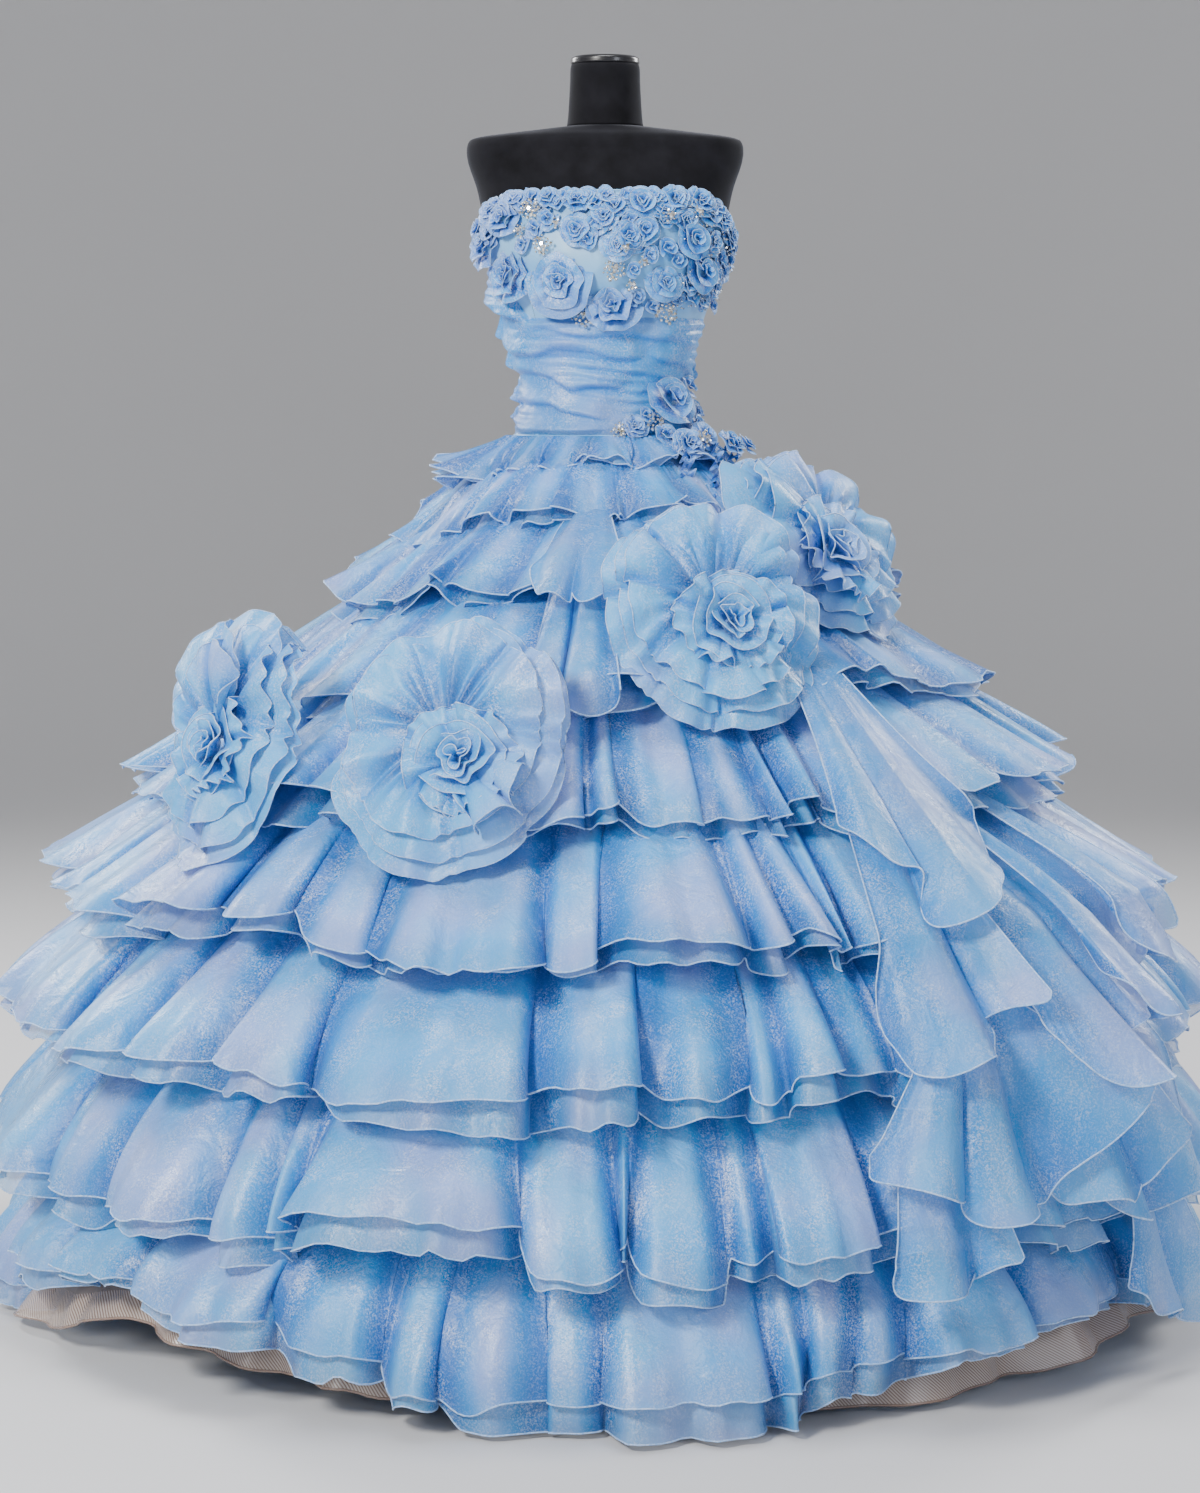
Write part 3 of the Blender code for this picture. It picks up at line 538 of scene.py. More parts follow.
def flounce(seam, hem, radius, crest, valley, edges, seed, layer=0.0, rows=13,
            lettuce=0.0055, wave_length=0.055, fullness=1.0, fold_width=0.026, lap=0.017,
            uneven=0.010, sunk=0.20, hem_seed=0, swell=0.009, step=0.24, curl=6):
    """Grid of points of a fluted ring sewn to the foundation, and the painted shade on each point.

    fullness above 1 makes it swell out below its seam and fall more steeply to its hem. Each valley
    is lapped over from one side or stands open: fold_width is how far its wall runs along the hem,
    lap how far a flute's edge hangs over it, sunk the share of narrow flutes that lie back between
    their neighbours, and swell the height of the soft waves across a broad flute. step is the share
    of a flute over which its hem comes to its own lift. lettuce and wave_length are the height and
    length of the waves along its hem, and curl how near the hem they stay.
    """
    rng = np.random.default_rng(seed)
    share = np.linspace(0, 1, rows)[:, None] ** 0.9
    start, lift = edges[:-1, 0], edges[:-1, 1]
    span = np.diff(edges[:, 0])
    count = len(span)
    width = np.radians(span) * radius
    across = (1 - np.cos(np.pi * np.arange(FLUTE_POINTS) / FLUTE_POINTS)) / 2
    begins = rng.uniform(0.0, 0.12, count)
    strength = crest * np.clip(width / FULL_WIDTH, 0.35, 1.15) * rng.uniform(0.6, 1.2, count)
    strength = np.where((width < NARROW) & (rng.random(count) < sunk), -0.5 * valley, strength)
    waves, phase, second = (rng.uniform(low, high, count)
                            for low, high in ((1.0, 2.2), (0, 6.28), (0, 6.28)))
    depth = valley * rng.uniform(0.5, 1.1, count)
    lapped = rng.choice((-1, 0, 1), count, p=(0.3, 0.35, 0.35))
    size = rng.uniform(0.7, 1.4, count)
    lean = rng.uniform(-1.8, 1.8, count + 1)
    lean[-1] = lean[0]
    hems = np.random.default_rng(seed * 31 + hem_seed)
    slope = hems.uniform(-uneven, uneven, count + 1)
    slope[-1] = slope[0]
    bulge = hems.uniform(-0.6, 1.0, count) * uneven

    # each flute in turn: how far along, out and down each of its columns goes at the hem
    angle, reach, drop, fold, start_share = [], [], [], [], []
    for index in range(count):
        after = (index + 1) % count
        degree = min(span[index] * 0.13, math.degrees(lap / radius))
        wall = min(0.42, fold_width / width[index])
        sides = []
        for place, kind, edge in ((across, lapped[index], index),
                                  (1 - across, -lapped[after], after)):
            steep = kind <= 0
            run = wall if steep else min(0.5, 2.6 * wall)
            floor = 0.35 * wall * size[edge] if kind == 0 else 0.0
            climb = np.clip((place - floor) / run, 0, 1)
            peak = place / (0.62 * run)
            hump = peak ** 1.5 * np.exp(1.5 * (1 - peak))
            over = degree * size[edge] * hump if steep else 0 * place
            back = degree * size[edge] * kind * np.clip(1 - place / 0.35, 0, 1) ** 2
            sides.append((eased(climb), -over - back))
        arch = sides[0][0] * sides[1][0]
        trough = depth[index] + (depth[after] - depth[index]) * across
        broad = swell * np.clip(width[index] / NARROW - 0.5, 0, 1) * arch
        undulation = broad * (np.sin(2 * np.pi * waves[index] * across + phase[index])
                              + 0.5 * np.sin(4.3 * np.pi * waves[index] * across + second[index]))
        reach.append(-trough + (strength[index] + trough) * arch + undulation)
        slide = lean[index] + (lean[index + 1] - lean[index]) * across
        angle.append(start[index] + span[index] * across + slide + sides[0][1] - sides[1][1])
        blend = eased(np.clip(across / step, 0, 1))
        drop.append(lift[index - 1] + (lift[index] - lift[index - 1]) * blend + slope[index]
                    + (slope[index + 1] - slope[index]) * across
                    - bulge[index] * np.sin(np.pi * across))
        fold.append(1 - arch)
        start_share.append(np.full(FLUTE_POINTS, begins[index]))
    at_seam = (start[:, None] + span[:, None] * across).ravel()
    angle, reach, drop, fold, start_share = map(np.concatenate,
                                                (angle, reach, drop, fold, start_share))

    # the cloth between seam and hem: flutes that open on the way down, dents, gathers and hem waves
    grown = np.clip((share - start_share) / (1 - start_share), 0, 1) ** OPENING
    turn = np.radians(at_seam)
    dents = sum(deep * np.sin(turn * number + wander * np.sin(turn * often + seed) + slant * share)
                for deep, number, wander, often, slant in DENTS)
    gathers = GATHERS[1] * np.sin(turn * GATHERS[0] + 2 * np.sin(turn * 17)) * (1 - share) ** 1.5
    lively = np.sin(turn * 8 + seed + hem_seed) + 0.5 * np.sin(turn * 19)
    lively = 0.45 + 0.55 * np.clip(lively, 0, 1)
    hem_waves = round(6.28 * radius / wave_length)
    ripple = lettuce * lively * (
        np.sin(turn * hem_waves + 2.6 * np.sin(turn * 13 + seed + hem_seed))
        + 0.6 * np.sin(turn * round(hem_waves * 0.57) + 2 * np.sin(turn * 9 + hem_seed)))
    ripple = ripple * share ** curl
    seam_width, seam_depth = smooth(FOUNDATION, seam, 1), smooth(FOUNDATION, seam, 2)
    oval = smooth(FOUNDATION, hem, 2) / smooth(FOUNDATION, hem, 1)
    out = (BELL * np.sin(np.pi * share) + reach * grown + dents * share + gathers + ripple
           - layer * share)
    run = 1 - (1 - share) ** fullness
    half_width = seam_width + SEAM_OFF + (radius - seam_width) * run + out
    half_depth = seam_depth + SEAM_OFF + (radius * oval - seam_depth) * run + out
    height = seam + (hem - seam + drop) * share + 0.12 * reach * grown * share
    bearing = at_seam + (angle - at_seam) * grown ** 1.2
    height = height + 0.9 * ripple
    low = height - FLOOR_GAP
    height = np.where(low < FLOOR_GAP,
                      FLOOR_GAP + FLOOR_GAP * np.exp(np.minimum(low / FLOOR_GAP, 1) - 1), height)
    grid = on_oval(bearing, half_width, half_depth, height)
    # painted shade: deep in the valleys between flutes, more so towards the hem, and near the seam
    # where the tier above overhangs
    shade = np.clip(fold * (0.35 + 0.65 * share) * 1.1 + 0.25 * (1 - share) ** 2, 0, 1)
    return grid, shade


def tube(line, radius, sides=4, closed=False):
    """Points and quads of a thin roll round a line of points."""
    line = np.asarray(line)
    if closed:
        along = np.roll(line, -1, axis=0) - np.roll(line, 1, axis=0)
    else:
        along = np.gradient(line, axis=0)
    along /= np.maximum(np.linalg.norm(along, axis=1, keepdims=True), 1e-9)
    side = np.cross(along, (0.0, 0.0, 1.0))
    side /= np.maximum(np.linalg.norm(side, axis=1, keepdims=True), 1e-9)
    up = np.cross(side, along)
    turns = 2 * np.pi * np.arange(sides) / sides
    rings = (line[None] + radius * (np.cos(turns)[:, None, None] * side[None]
                                    + np.sin(turns)[:, None, None] * up[None]))
    return rings.reshape(-1, 3), grid_faces(sides, len(line), closed, rolled=True)


def add_rolls(name, lines, radius, closed=False, material=None, sides=4):
    """One object with a rolled edge along each line."""
    points, faces, total = [], [], 0
    for line in lines:
        ring, quads = tube(line, radius, sides, closed)
        points.append(ring)
        faces.append(quads + total)
        total += len(ring)
    return add_mesh(name, np.concatenate(points), np.concatenate(faces), [material or hem_thread_highlight])


def sew_ring(name, hem_name, grid, shade, material, slot, node):
    """A closed flounce and its rolled hem, sewn in place of its node, which is hidden."""
    piece = add_sheet(name, grid, material, closed=True, attributes={"fold": shade})
    roll = add_rolls(hem_name, [grid[-1]], HEM_ROLL, closed=True)
    fasten(slot, piece, roll)
    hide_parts(node)


for number, (name, seam, hem, radius, crest, valley, fullness) in enumerate(TIERS):
    edges = flute_edges(FLUTES[name], np.random.default_rng(20 + number))
    length, depth, area = TIER_CUTS[name]
    under_hem = hem - UNDER_DROP
    for layer, material, low, inset, lap, share, slot, lettuce, uneven, hem_seed in (
            ("under", sheer_organza, under_hem, 0.012, 0.011, 1.0, "under_organza",
             0.0075, 0.010, number + 7),
            ("upper", organza, seam + (under_hem - seam) * UPPER_SHARE, 0.000, 0.019, UPPER_SHARE,
             "organza", 0.0055, 0.016, number)):
        grid, shade = flounce(seam, low, radius, crest, valley, edges, 40 + number, layer=inset,
                              lap=lap, fullness=fullness, hem_seed=hem_seed, lettuce=lettuce,
                              uneven=uneven)
        sew_ring(f"{name}_{layer}_flounce", f"{name}_{layer}_hem", grid, shade, material, slot,
                 f"{name}_{layer}")


# ---- Peplum ---------------------------------------------------------------------------------
# Four short organza flounces under the waist seam, cut as rings and set one below the other. Each
# is two plies in one seam, so its rolled hem shows double.
PEPLUM = (
    # name, seam height, hem height, hem radius, crests out, valleys in, how much longer the lower
    # ply is, and length of a wave in the hem
    ("peplum_1", 1.1240, 1.085, 0.174, 0.006, 0.003, 0.005, 0.100),
    ("peplum_2", 1.1000, 1.018, 0.248, 0.009, 0.004, 0.007, 0.130),
    ("peplum_3", 1.0450, 0.938, 0.345, 0.011, 0.006, 0.008, 0.150),
    ("peplum_4", 0.9680, 0.826, 0.465, 0.013, 0.008, 0.010, 0.170),
)
PEPLUM_FLUTES = {
    "peplum_1": ((-100, -0.020), (-78, 0.000), (-52, -0.010), (-30, 0.012), (-8, -0.004),
                 (14, 0.014), (36, -0.004), (62, 0.000), (84, -0.014)),
    "peplum_2": ((-98, -0.034), (-76, -0.020), (-52, 0.004), (-34, 0.020), (-14, 0.000),
                 (6, 0.022), (26, 0.004), (46, 0.012), (70, -0.016)),
    "peplum_3": ((-94, -0.044), (-72, -0.030), (-52, 0.002), (-36, -0.016), (-20, 0.014),
                 (-4, 0.022), (14, -0.004), (32, 0.014), (52, -0.010), (76, -0.030)),
    "peplum_4": ((-90, -0.046), (-72, -0.034), (-56, -0.014), (-40, 0.004), (-24, -0.010),
                 (-10, -0.004), (8, -0.006), (24, 0.008), (42, -0.010), (62, -0.022), (78, -0.036)),
}
PEPLUM_FLARES = {
    # bearing it is widest at, how wide, share added to the reach there, and rise of its hem
    "peplum_1": (-84, 15, 0.26, 0.014),
    "peplum_2": (-88, 20, 0.06, 0.004),
    "peplum_3": (84, 30, 0.10, 0.010),
    "peplum_4": (82, 32, 0.075, 0.012),
}

for number, (name, seam, hem, radius, crest, valley, longer, wave_length) in enumerate(PEPLUM):
    widest, flare, more, rise = PEPLUM_FLARES[name]
    edges = flute_edges(PEPLUM_FLUTES[name], np.random.default_rng(70 + number))
    for ply, (layer, material, low, inset) in enumerate((
            ("lower_ply", sheer_organza, hem - longer, 0.0045), ("upper_ply", organza, hem, 0.0))):
        grid, shade = flounce(seam, low, radius, crest, valley, edges, 80 + number, layer=inset,
                              rows=14, lettuce=0.0090, wave_length=wave_length, fold_width=0.085,
                              lap=0.008, uneven=0.012, sunk=0.0, hem_seed=ply, swell=0.005,
                              step=1.0, curl=3)
        bearing = np.degrees(np.arctan2(grid[..., 0], -grid[..., 1]))
        bump = (np.exp(-((bearing - widest) / flare) ** 2)
                * np.linspace(0, 1, len(grid))[:, None] ** 1.3)
        grid = grid * np.stack([1 + more * bump, 1 + more * bump, np.ones_like(bump)], -1)
        grid[..., 2] += rise * bump
        sew_ring(f"{name}_{layer}", f"{name}_{layer}_hem", grid, shade, material, "organza", name)


# ---- Bodice ---------------------------------------------------------------------------------
# A boned strapless bodice of duchess satin in five panels, seamed over the bust and at the sides
# and turned under along its top edge. The form fills it, and only its flowers hide the seams.
BODICE_EASE = ((1.100, 0.0010), (1.170, 0.0006), (1.250, 0.0030), (1.350, 0.0040), (1.440, 0.0040))
TOP_EDGE = ((0, 1.435), (45, 1.433), (75, 1.396), (105, 1.378), (180, 1.370))    # angle, height
BODICE_BOTTOM = 1.101
SATIN_OFF = 0.0020               # the satin's face stands this far off the ease
SEAM_GROOVE = (0.0011, 0.0016)   # depth and half width of the groove along a panel's seam
PANELS = (
    # name, from angle, to angle
    ("bodice_front", -45, 45),
    ("bodice_side_front_left", 45, 90),
    ("bodice_side_front_right", -90, -45),
    ("bodice_back_left", 90, 177.3),
    ("bodice_back_right", -177.3, -90),
)


def bodice_ring(angle, height, off=0.0):
    """Points on the bodice's face, or a distance off it."""
    return torso_ring(angle, height, smooth(BODICE_EASE, height) + SATIN_OFF + off)


def top_edge(angle):
    """Height of the bodice's top edge."""
    return smooth(TOP_EDGE, np.abs((np.asarray(angle, float) + 180) % 360 - 180))


for name, start, end in PANELS:
    columns = int((end - start) / 2.2) + 2
    angles = np.linspace(start + 0.01, end - 0.01, columns)[None, :]
    share = np.linspace(0, 1, 40)[:, None]
    heights = top_edge(angles) + (BODICE_BOTTOM - top_edge(angles)) * share
    from_seam = np.minimum(angles - start, end - angles) * 0.0026
    groove = -SEAM_GROOVE[0] * np.exp(-(from_seam / SEAM_GROOVE[1]) ** 2)
    pulls = (0.0006 * np.sin(angles * 0.55 + heights * 60 + start)
             * np.sin(heights * 95 + angles * 0.1))
    grid = bodice_ring(angles + 0 * heights, heights, groove + pulls)
    panel = add_sheet(name + "_satin", grid, satin)
    edge = add_rolls(name + "_edge", [grid[0]], 0.0014, material=satin)
    fasten("satin", panel, edge)
    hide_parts(name)
    tall = float(top_edge((start + end) / 2)) - BODICE_BOTTOM


# ---- Zip ------------------------------------------------------------------------------------
# A coil zip sewn into the centre back: two woven tapes edge to edge, a nylon coil along each, and
# a nickel-plated slider whose pull hangs from its arch.
ZIP_TOP = 1.368
ZIP_BOTTOM = 1.104
ZIP_HALF_ANGLE = 2.7
COIL_PITCH = 0.0016
COIL_HALF_WIDTH = 0.0026
COIL_THICKNESS = 0.0011

# woven polyester tape: a fine herringbone, drawn at 1.2 mm so that it shows
TAPE_WEAVE = dict(kind="ShaderNodeTexWave", bands_direction="DIAGONAL",
                  inputs={"Scale": 260.0, "Distortion": 1.5, "Detail": 1.0})
tape_cloth = patterned_material(
    "woven_polyester_zip_tape", {"Roughness": 0.70, "Sheen Weight": 0.2, "Sheen Roughness": 0.5},
    shade=(TAPE_WEAVE, (0.2, "6E9FD2"), (0.8, "8DB7E2")), relief=(TAPE_WEAVE, 0.3, 0.0003))

# nylon coil: drawn monofilament, smooth and satiny, its dye a little uneven from turn to turn
nylon = patterned_material(
    "pale_blue_nylon_coil", {"Roughness": 0.35, "Specular IOR Level": 0.5},
    shade=(dict(kind="ShaderNodeTexNoise", inputs={"Scale": 400.0}),
           (0.3, "7DAEDF"), (0.7, "A6CBEE")))

# nickel plate over die-cast zinc: a warm white metal, polished, with a light haze of handling
nickel = patterned_material(
    "polished_nickel_plate", {"Base Color": colour("C9CBCF"), "Metallic": 1.0, "Roughness": 0.22},
    gloss=(dict(kind="ShaderNodeTexNoise", inputs={"Scale": 500.0, "Detail": 3.0}), 0.14, 0.34))

tape_heights = np.linspace(ZIP_TOP, ZIP_BOTTOM, 60)[:, None]
tape_angles = np.linspace(180 - ZIP_HALF_ANGLE, 180 + ZIP_HALF_ANGLE, 9)[None, :]
tape_middle = -0.0005 * np.exp(-((tape_angles - 180) / 0.4) ** 2)
tape = add_sheet("zip_tapes", bodice_ring(tape_angles + 0 * tape_heights, tape_heights,
                                          tape_middle - 0.0002), tape_cloth)
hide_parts("zip_tape")
fasten("satin", tape)


def new_tree(name, inputs):
    """A geometry node tree with a mesh in and out and the named number inputs."""
    tree = bpy.data.node_groups.new(name, "GeometryNodeTree")
    tree.interface.new_socket("Geometry", in_out="INPUT", socket_type="NodeSocketGeometry")
    for label, value in inputs.items():
        socket = tree.interface.new_socket(label, in_out="INPUT", socket_type="NodeSocketFloat")
        socket.default_value = value
    tree.interface.new_socket("Geometry", in_out="OUTPUT", socket_type="NodeSocketGeometry")
    return tree, add_node(tree, "NodeGroupInput"), add_node(tree, "NodeGroupOutput")


def end_tree(tree, out, instances, material):
    """End a node tree: its instances made real and given their material."""
    real = add_node(tree, "GeometryNodeRealizeInstances", {"Geometry": instances})
    done = add_node(tree, "GeometryNodeSetMaterial",
                    {"Geometry": real.outputs["Geometry"], "Material": material})
    tree.links.new(done.outputs["Geometry"], out.inputs["Geometry"])


def made_by(tree, values, name, points, edges=(), attributes=None):
    """The plain mesh that a node tree makes on points, with the tree's named inputs set."""
    places = bpy.data.meshes.new(name + "_places")
    places.from_pydata(np.asarray(points).tolist(), edges, [])
    for key, numbers in (attributes or {}).items():
        kind, field = ("FLOAT", "value") if np.ndim(numbers) == 1 else ("FLOAT_VECTOR", "vector")
        places.attributes.new(key, kind, "POINT").data.foreach_set(
            field, np.asarray(numbers, np.float32).ravel())
    carrier = bpy.data.objects.new(name + "_places", places)
    bpy.context.scene.collection.objects.link(carrier)
    modifier = carrier.modifiers.new("made", "NODES")
    modifier.node_group = tree
    for item in tree.interface.items_tree:
        if item.item_type == "SOCKET" and item.in_out == "INPUT" and item.name in values:
            modifier[item.identifier] = values[item.name]
    carrier.update_tag()
    graph = bpy.context.evaluated_depsgraph_get()
    mesh = bpy.data.meshes.new_from_object(carrier.evaluated_get(graph))
    carrier.modifiers.remove(modifier)
    bpy.data.objects.remove(carrier)
    mesh.name = name
    made = bpy.data.objects.new(name, mesh)
    bpy.context.scene.collection.objects.link(made)
    return made


# the coil: a flat bead of nylon for each turn, set a pitch apart where the tapes meet
coil_tree, coil_in, coil_out = new_tree("zip_coil",
                                        {"Pitch": 0.002, "Width": 0.005, "Thickness": 0.001})
coil_curve = add_node(coil_tree, "GeometryNodeMeshToCurve", {"Mesh": coil_in.outputs["Geometry"]})
coil_points = add_node(coil_tree, "GeometryNodeCurveToPoints",
                       {"Curve": coil_curve.outputs["Curve"], "Length": coil_in.outputs["Pitch"]},
                       mode="LENGTH")
coil_size = add_node(coil_tree, "ShaderNodeCombineXYZ",
                     {"X": coil_in.outputs["Thickness"], "Y": coil_in.outputs["Width"],
                      "Z": coil_in.outputs["Thickness"]})
coil_tooth = add_node(coil_tree, "GeometryNodeMeshIcoSphere", {"Radius": 0.5, "Subdivisions": 2})
coil_shaped = add_node(coil_tree, "GeometryNodeTransform",
                       {"Geometry": coil_tooth.outputs["Mesh"],
                        "Scale": coil_size.outputs["Vector"]})
coil_set = add_node(coil_tree, "GeometryNodeInstanceOnPoints",
                    {"Points": coil_points.outputs["Points"],
                     "Instance": coil_shaped.outputs["Geometry"],
                     "Rotation": coil_points.outputs["Rotation"]})
end_tree(coil_tree, coil_out, coil_set.outputs["Instances"], nylon)
coil_line = bodice_ring(180.0, np.linspace(ZIP_TOP - 0.010, ZIP_BOTTOM, 40), 0.0004)
coil = made_by(coil_tree, {"Pitch": COIL_PITCH, "Width": 2 * COIL_HALF_WIDTH,
                           "Thickness": COIL_THICKNESS}, "zip_coil", coil_line,
               edges=[(index, index + 1) for index in range(len(coil_line) - 1)])
coil.data.shade_smooth()
fasten("satin", coil)
coat(nickel, "zip_slider", "zip_arch", "zip_pull")


# ---- Sash -----------------------------------------------------------------------------------
# Organza wrapped round the midriff from the bust to the waist seam, pleated by hand so that its
# folds run nearly level, overlap downwards and are loose at the wearer's right side.
SASH_TOP = ((-180, 1.2745), (-122, 1.2745), (-100, 1.336), (-78, 1.346), (-62, 1.312),
            (-46, 1.2745), (180, 1.2745))   # angle, height: it puffs up at the wearer's right side
SASH_BOTTOM = 1.1245
SASH_OFF = 0.0032
FOLD_RISE = 0.020                # a fold dies away this far above its lower edge
FOLD_TURN = 0.0085               # and turns in this far below it
FOLD_FADE = 16                   # degrees over which its ends run out
SASH_FOLDS = (
    # depth of the fold, then the angle and height of points along its lower edge
    (0.0190, ((-130, 1.286), (-106, 1.296), (-84, 1.294), (-64, 1.282), (-46, 1.270))),
    (0.0100, ((-90, 1.252), (-70, 1.232), (-49, 1.230), (-31, 1.241), (-12, 1.234), (8, 1.227),
              (28, 1.230))),
    (0.0085, ((-90, 1.214), (-60, 1.208), (-38, 1.205), (-31, 1.196), (-20, 1.187), (-3, 1.190),
              (20, 1.193))),
    (0.0075, ((-90, 1.172), (-60, 1.172), (-40, 1.168), (-30, 1.158), (-13, 1.154), (8, 1.150))),
    (0.0065, ((-90, 1.148), (-70, 1.138), (-57, 1.132), (-17, 1.130), (4, 1.134))),
    (0.0060, ((-64, 1.262), (-40, 1.264), (-18, 1.256), (6, 1.258), (30, 1.250), (52, 1.256))),
    (0.0048, ((22, 1.240), (36, 1.227), (55, 1.219), (90, 1.198))),
    (0.0038, ((4, 1.215), (24, 1.208), (48, 1.196), (74, 1.176))),
    (0.0034, ((-24, 1.218), (-6, 1.214), (14, 1.210))),
    (0.0036, ((30, 1.262), (56, 1.246), (76, 1.238))),
    (0.0034, ((10, 1.176), (30, 1.166), (60, 1.150), (90, 1.148))),
    (0.0050, ((96, 1.230), (118, 1.240), (140, 1.236), (177, 1.243))),
    (0.0055, ((90, 1.198), (118, 1.210), (150, 1.203), (177, 1.209))),
    (0.0045, ((100, 1.168), (124, 1.173), (148, 1.167), (177, 1.172))),
    (0.0050, ((90, 1.148), (130, 1.140), (177, 1.144))),
    (0.0080, ((-177, 1.243), (-150, 1.236), (-120, 1.247), (-90, 1.252))),
    (0.0080, ((-177, 1.209), (-146, 1.202), (-118, 1.212), (-90, 1.214))),
    (0.0075, ((-177, 1.172), (-140, 1.164), (-112, 1.174), (-90, 1.172))),
    (0.0060, ((-177, 1.144), (-130, 1.138), (-90, 1.148))),
)
SASH = (
    # name, from angle, to angle, cut length, cut depth
    ("sash_front", -90, 90, 0.36, 0.19),
    ("sash_back_left", 90, 177, 0.18, 0.18),
    ("sash_back_right", -177, -90, 0.18, 0.18),
)


def sash_surface(angles, share):
    """Points of the sash at angles and shares of its depth, and the painted shade on each point."""
    top = smooth(SASH_TOP, angles)
    height = top + (SASH_BOTTOM - top) * share
    out, shade = 0.0, 0.16
    for depth, line in SASH_FOLDS:
        first, last = line[0][0], line[-1][0]
        wander = 0.0022 * np.sin(np.radians(angles) * 7 + depth * 4000)
        above = height - smooth(line, angles) - wander
        near = np.clip((angles - first) / FOLD_FADE + (first % 90 in (0, 3)), 0, 1)
        near = near * np.clip((last - angles) / FOLD_FADE + (last % 90 in (0, 87)), 0, 1)
        near = eased(near) * ((angles >= first - 1) & (angles <= last + 1))
        crest = np.where(above >= 0, np.exp(-np.abs(above / FOLD_RISE) ** 1.6),
                         eased(np.clip(1 + above / FOLD_TURN, 0, 1)))
        out = out + depth * near * crest
        # painted shadow just below the lower edge of each fold
        under = np.where(above < -0.004, np.exp((above + 0.004) / 0.007), 0)
        shade = shade + near * np.clip(depth / 0.008, 0.4, 1.0) * under * 0.40
    turn = np.radians(angles)
    drag = 0.0012 * np.sin(turn * 6 + share * 22) * np.sin(turn * 2.2 + share * 9)
    pull = 2 * np.pi * height / 0.0125 + 2.6 * np.sin(turn * 1.7 + 0.8) + 1.4 * np.sin(turn * 4.3)
    ruched = 0.0013 * np.sin(pull) * np.clip(0.35 + 0.65 * np.sin(turn * 3.1 + height * 38), 0, 1)
    ends = np.clip(share / 0.05, 0, 1) * np.clip((1 - share) / 0.05, 0, 1)
    grid = bodice_ring(angles, height, SASH_OFF * ends + (out + (drag + ruched)) * ends)
    # painted shade: the ruched ridges lighter and their hollows darker
    return grid, np.clip(shade - 90 * ruched, 0, 1)


for name, start, end, length, depth in SASH:
    columns = int((end - start) / 1.3) + 2
    angles = np.linspace(start + 0.05, end - 0.05, columns)[None, :]
    share = np.linspace(0, 1, 110)[:, None]
    grid, shade = sash_surface(angles + 0 * share, share + 0 * angles)
    piece = add_sheet(name + "_organza", grid, organza, attributes={"fold": shade})
    fasten("organza", piece)
    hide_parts(name)


# ---- Large rosettes -------------------------------------------------------------------------
# Four organza roses as wide as a plate. A bias strip is gathered along one edge and coiled into
# the heart, and wider gathered rings are sewn behind it. Every outer edge is rolled.
ROSETTES = (
    # name, angle, tilt upwards, radius, turn of the pattern, how far the heart sits off the middle,
    # its width over its height, and how far it is moved to the wearer's left
    ("rosette_1", 17.5, 30, 0.142, 0.4, (0.010, -0.022), 1.0, 0.0),
    ("rosette_2", 51.0, 35, 0.140, 2.2, (-0.022, -0.030), 1.0, 0.018),
    ("rosette_3", -16.5, 26, 0.150, 4.0, (0.026, -0.026), 1.0, -0.018),
    ("rosette_4", -50.0, 22, 0.146, 5.3, (0.014, -0.016), 0.78, 0.026),
)
LOOSE_PETALS = {
    # part turn, where it starts (degrees from the wearer's left, upwards), root, lift, width over
    # the radius, opening, waves, depth
    "rosette_1": ((0.34, 5, 0.030, 0.010, 0.84, 80, 4, 0.011),
                  (0.20, 235, 0.034, 0.012, 0.66, 76, 3, 0.010)),
    "rosette_2": ((0.38, 85, 0.024, 0.004, 1.00, 82, 5, 0.011),
                  (0.30, 80, 0.020, 0.014, 0.74, 74, 4, 0.009)),
    "rosette_3": ((0.16, -72, 0.046, 0.014, 0.62, 64, 5, 0.015),
                  (0.34, 40, 0.030, 0.008, 0.86, 80, 5, 0.011)),
    "rosette_4": ((0.40, 50, 0.034, 0.004, 1.00, 78, 5, 0.010),
                  (0.34, 62, 0.024, 0.014, 0.84, 64, 5, 0.010),
                  (0.24, 40, 0.020, 0.020, 0.64, 46, 4, 0.012)),
}
HEART_COILS = (
    # turns, where it starts, root, lift, width, opening, waves, depth, rows, columns in a turn
    (2.2, 0.0, (0.010, 0.022), (0.020, 0.010), (0.034, 0.046), (30, 60), 4, 0.0060, 9, 110),
    (2.4, 2.0, (0.0015, 0.010), (0.024, 0.022), (0.018, 0.030), (4, 30), 3, 0.0040, 7, 72),
)
REACH_STEP = 1.5                         # degrees between the skirt's measured places
REACH_DROP = 0.01                        # and the distance between them down it
REACH_FROM = 1.2                         # it is measured inwards from this radius
REACH_ANGLES = np.arange(-81, 81.1, REACH_STEP)
REACH_HEIGHTS = np.arange(1.10, 0.019, -REACH_DROP)


def disc_axes(facing):
    """Across to the wearer's left, up and out of a flower that faces a way."""
    side = Vector((0.0, 0.0, 1.0)).cross(facing).normalized()
    return np.array(side), np.array(facing.cross(side)), np.array(facing)


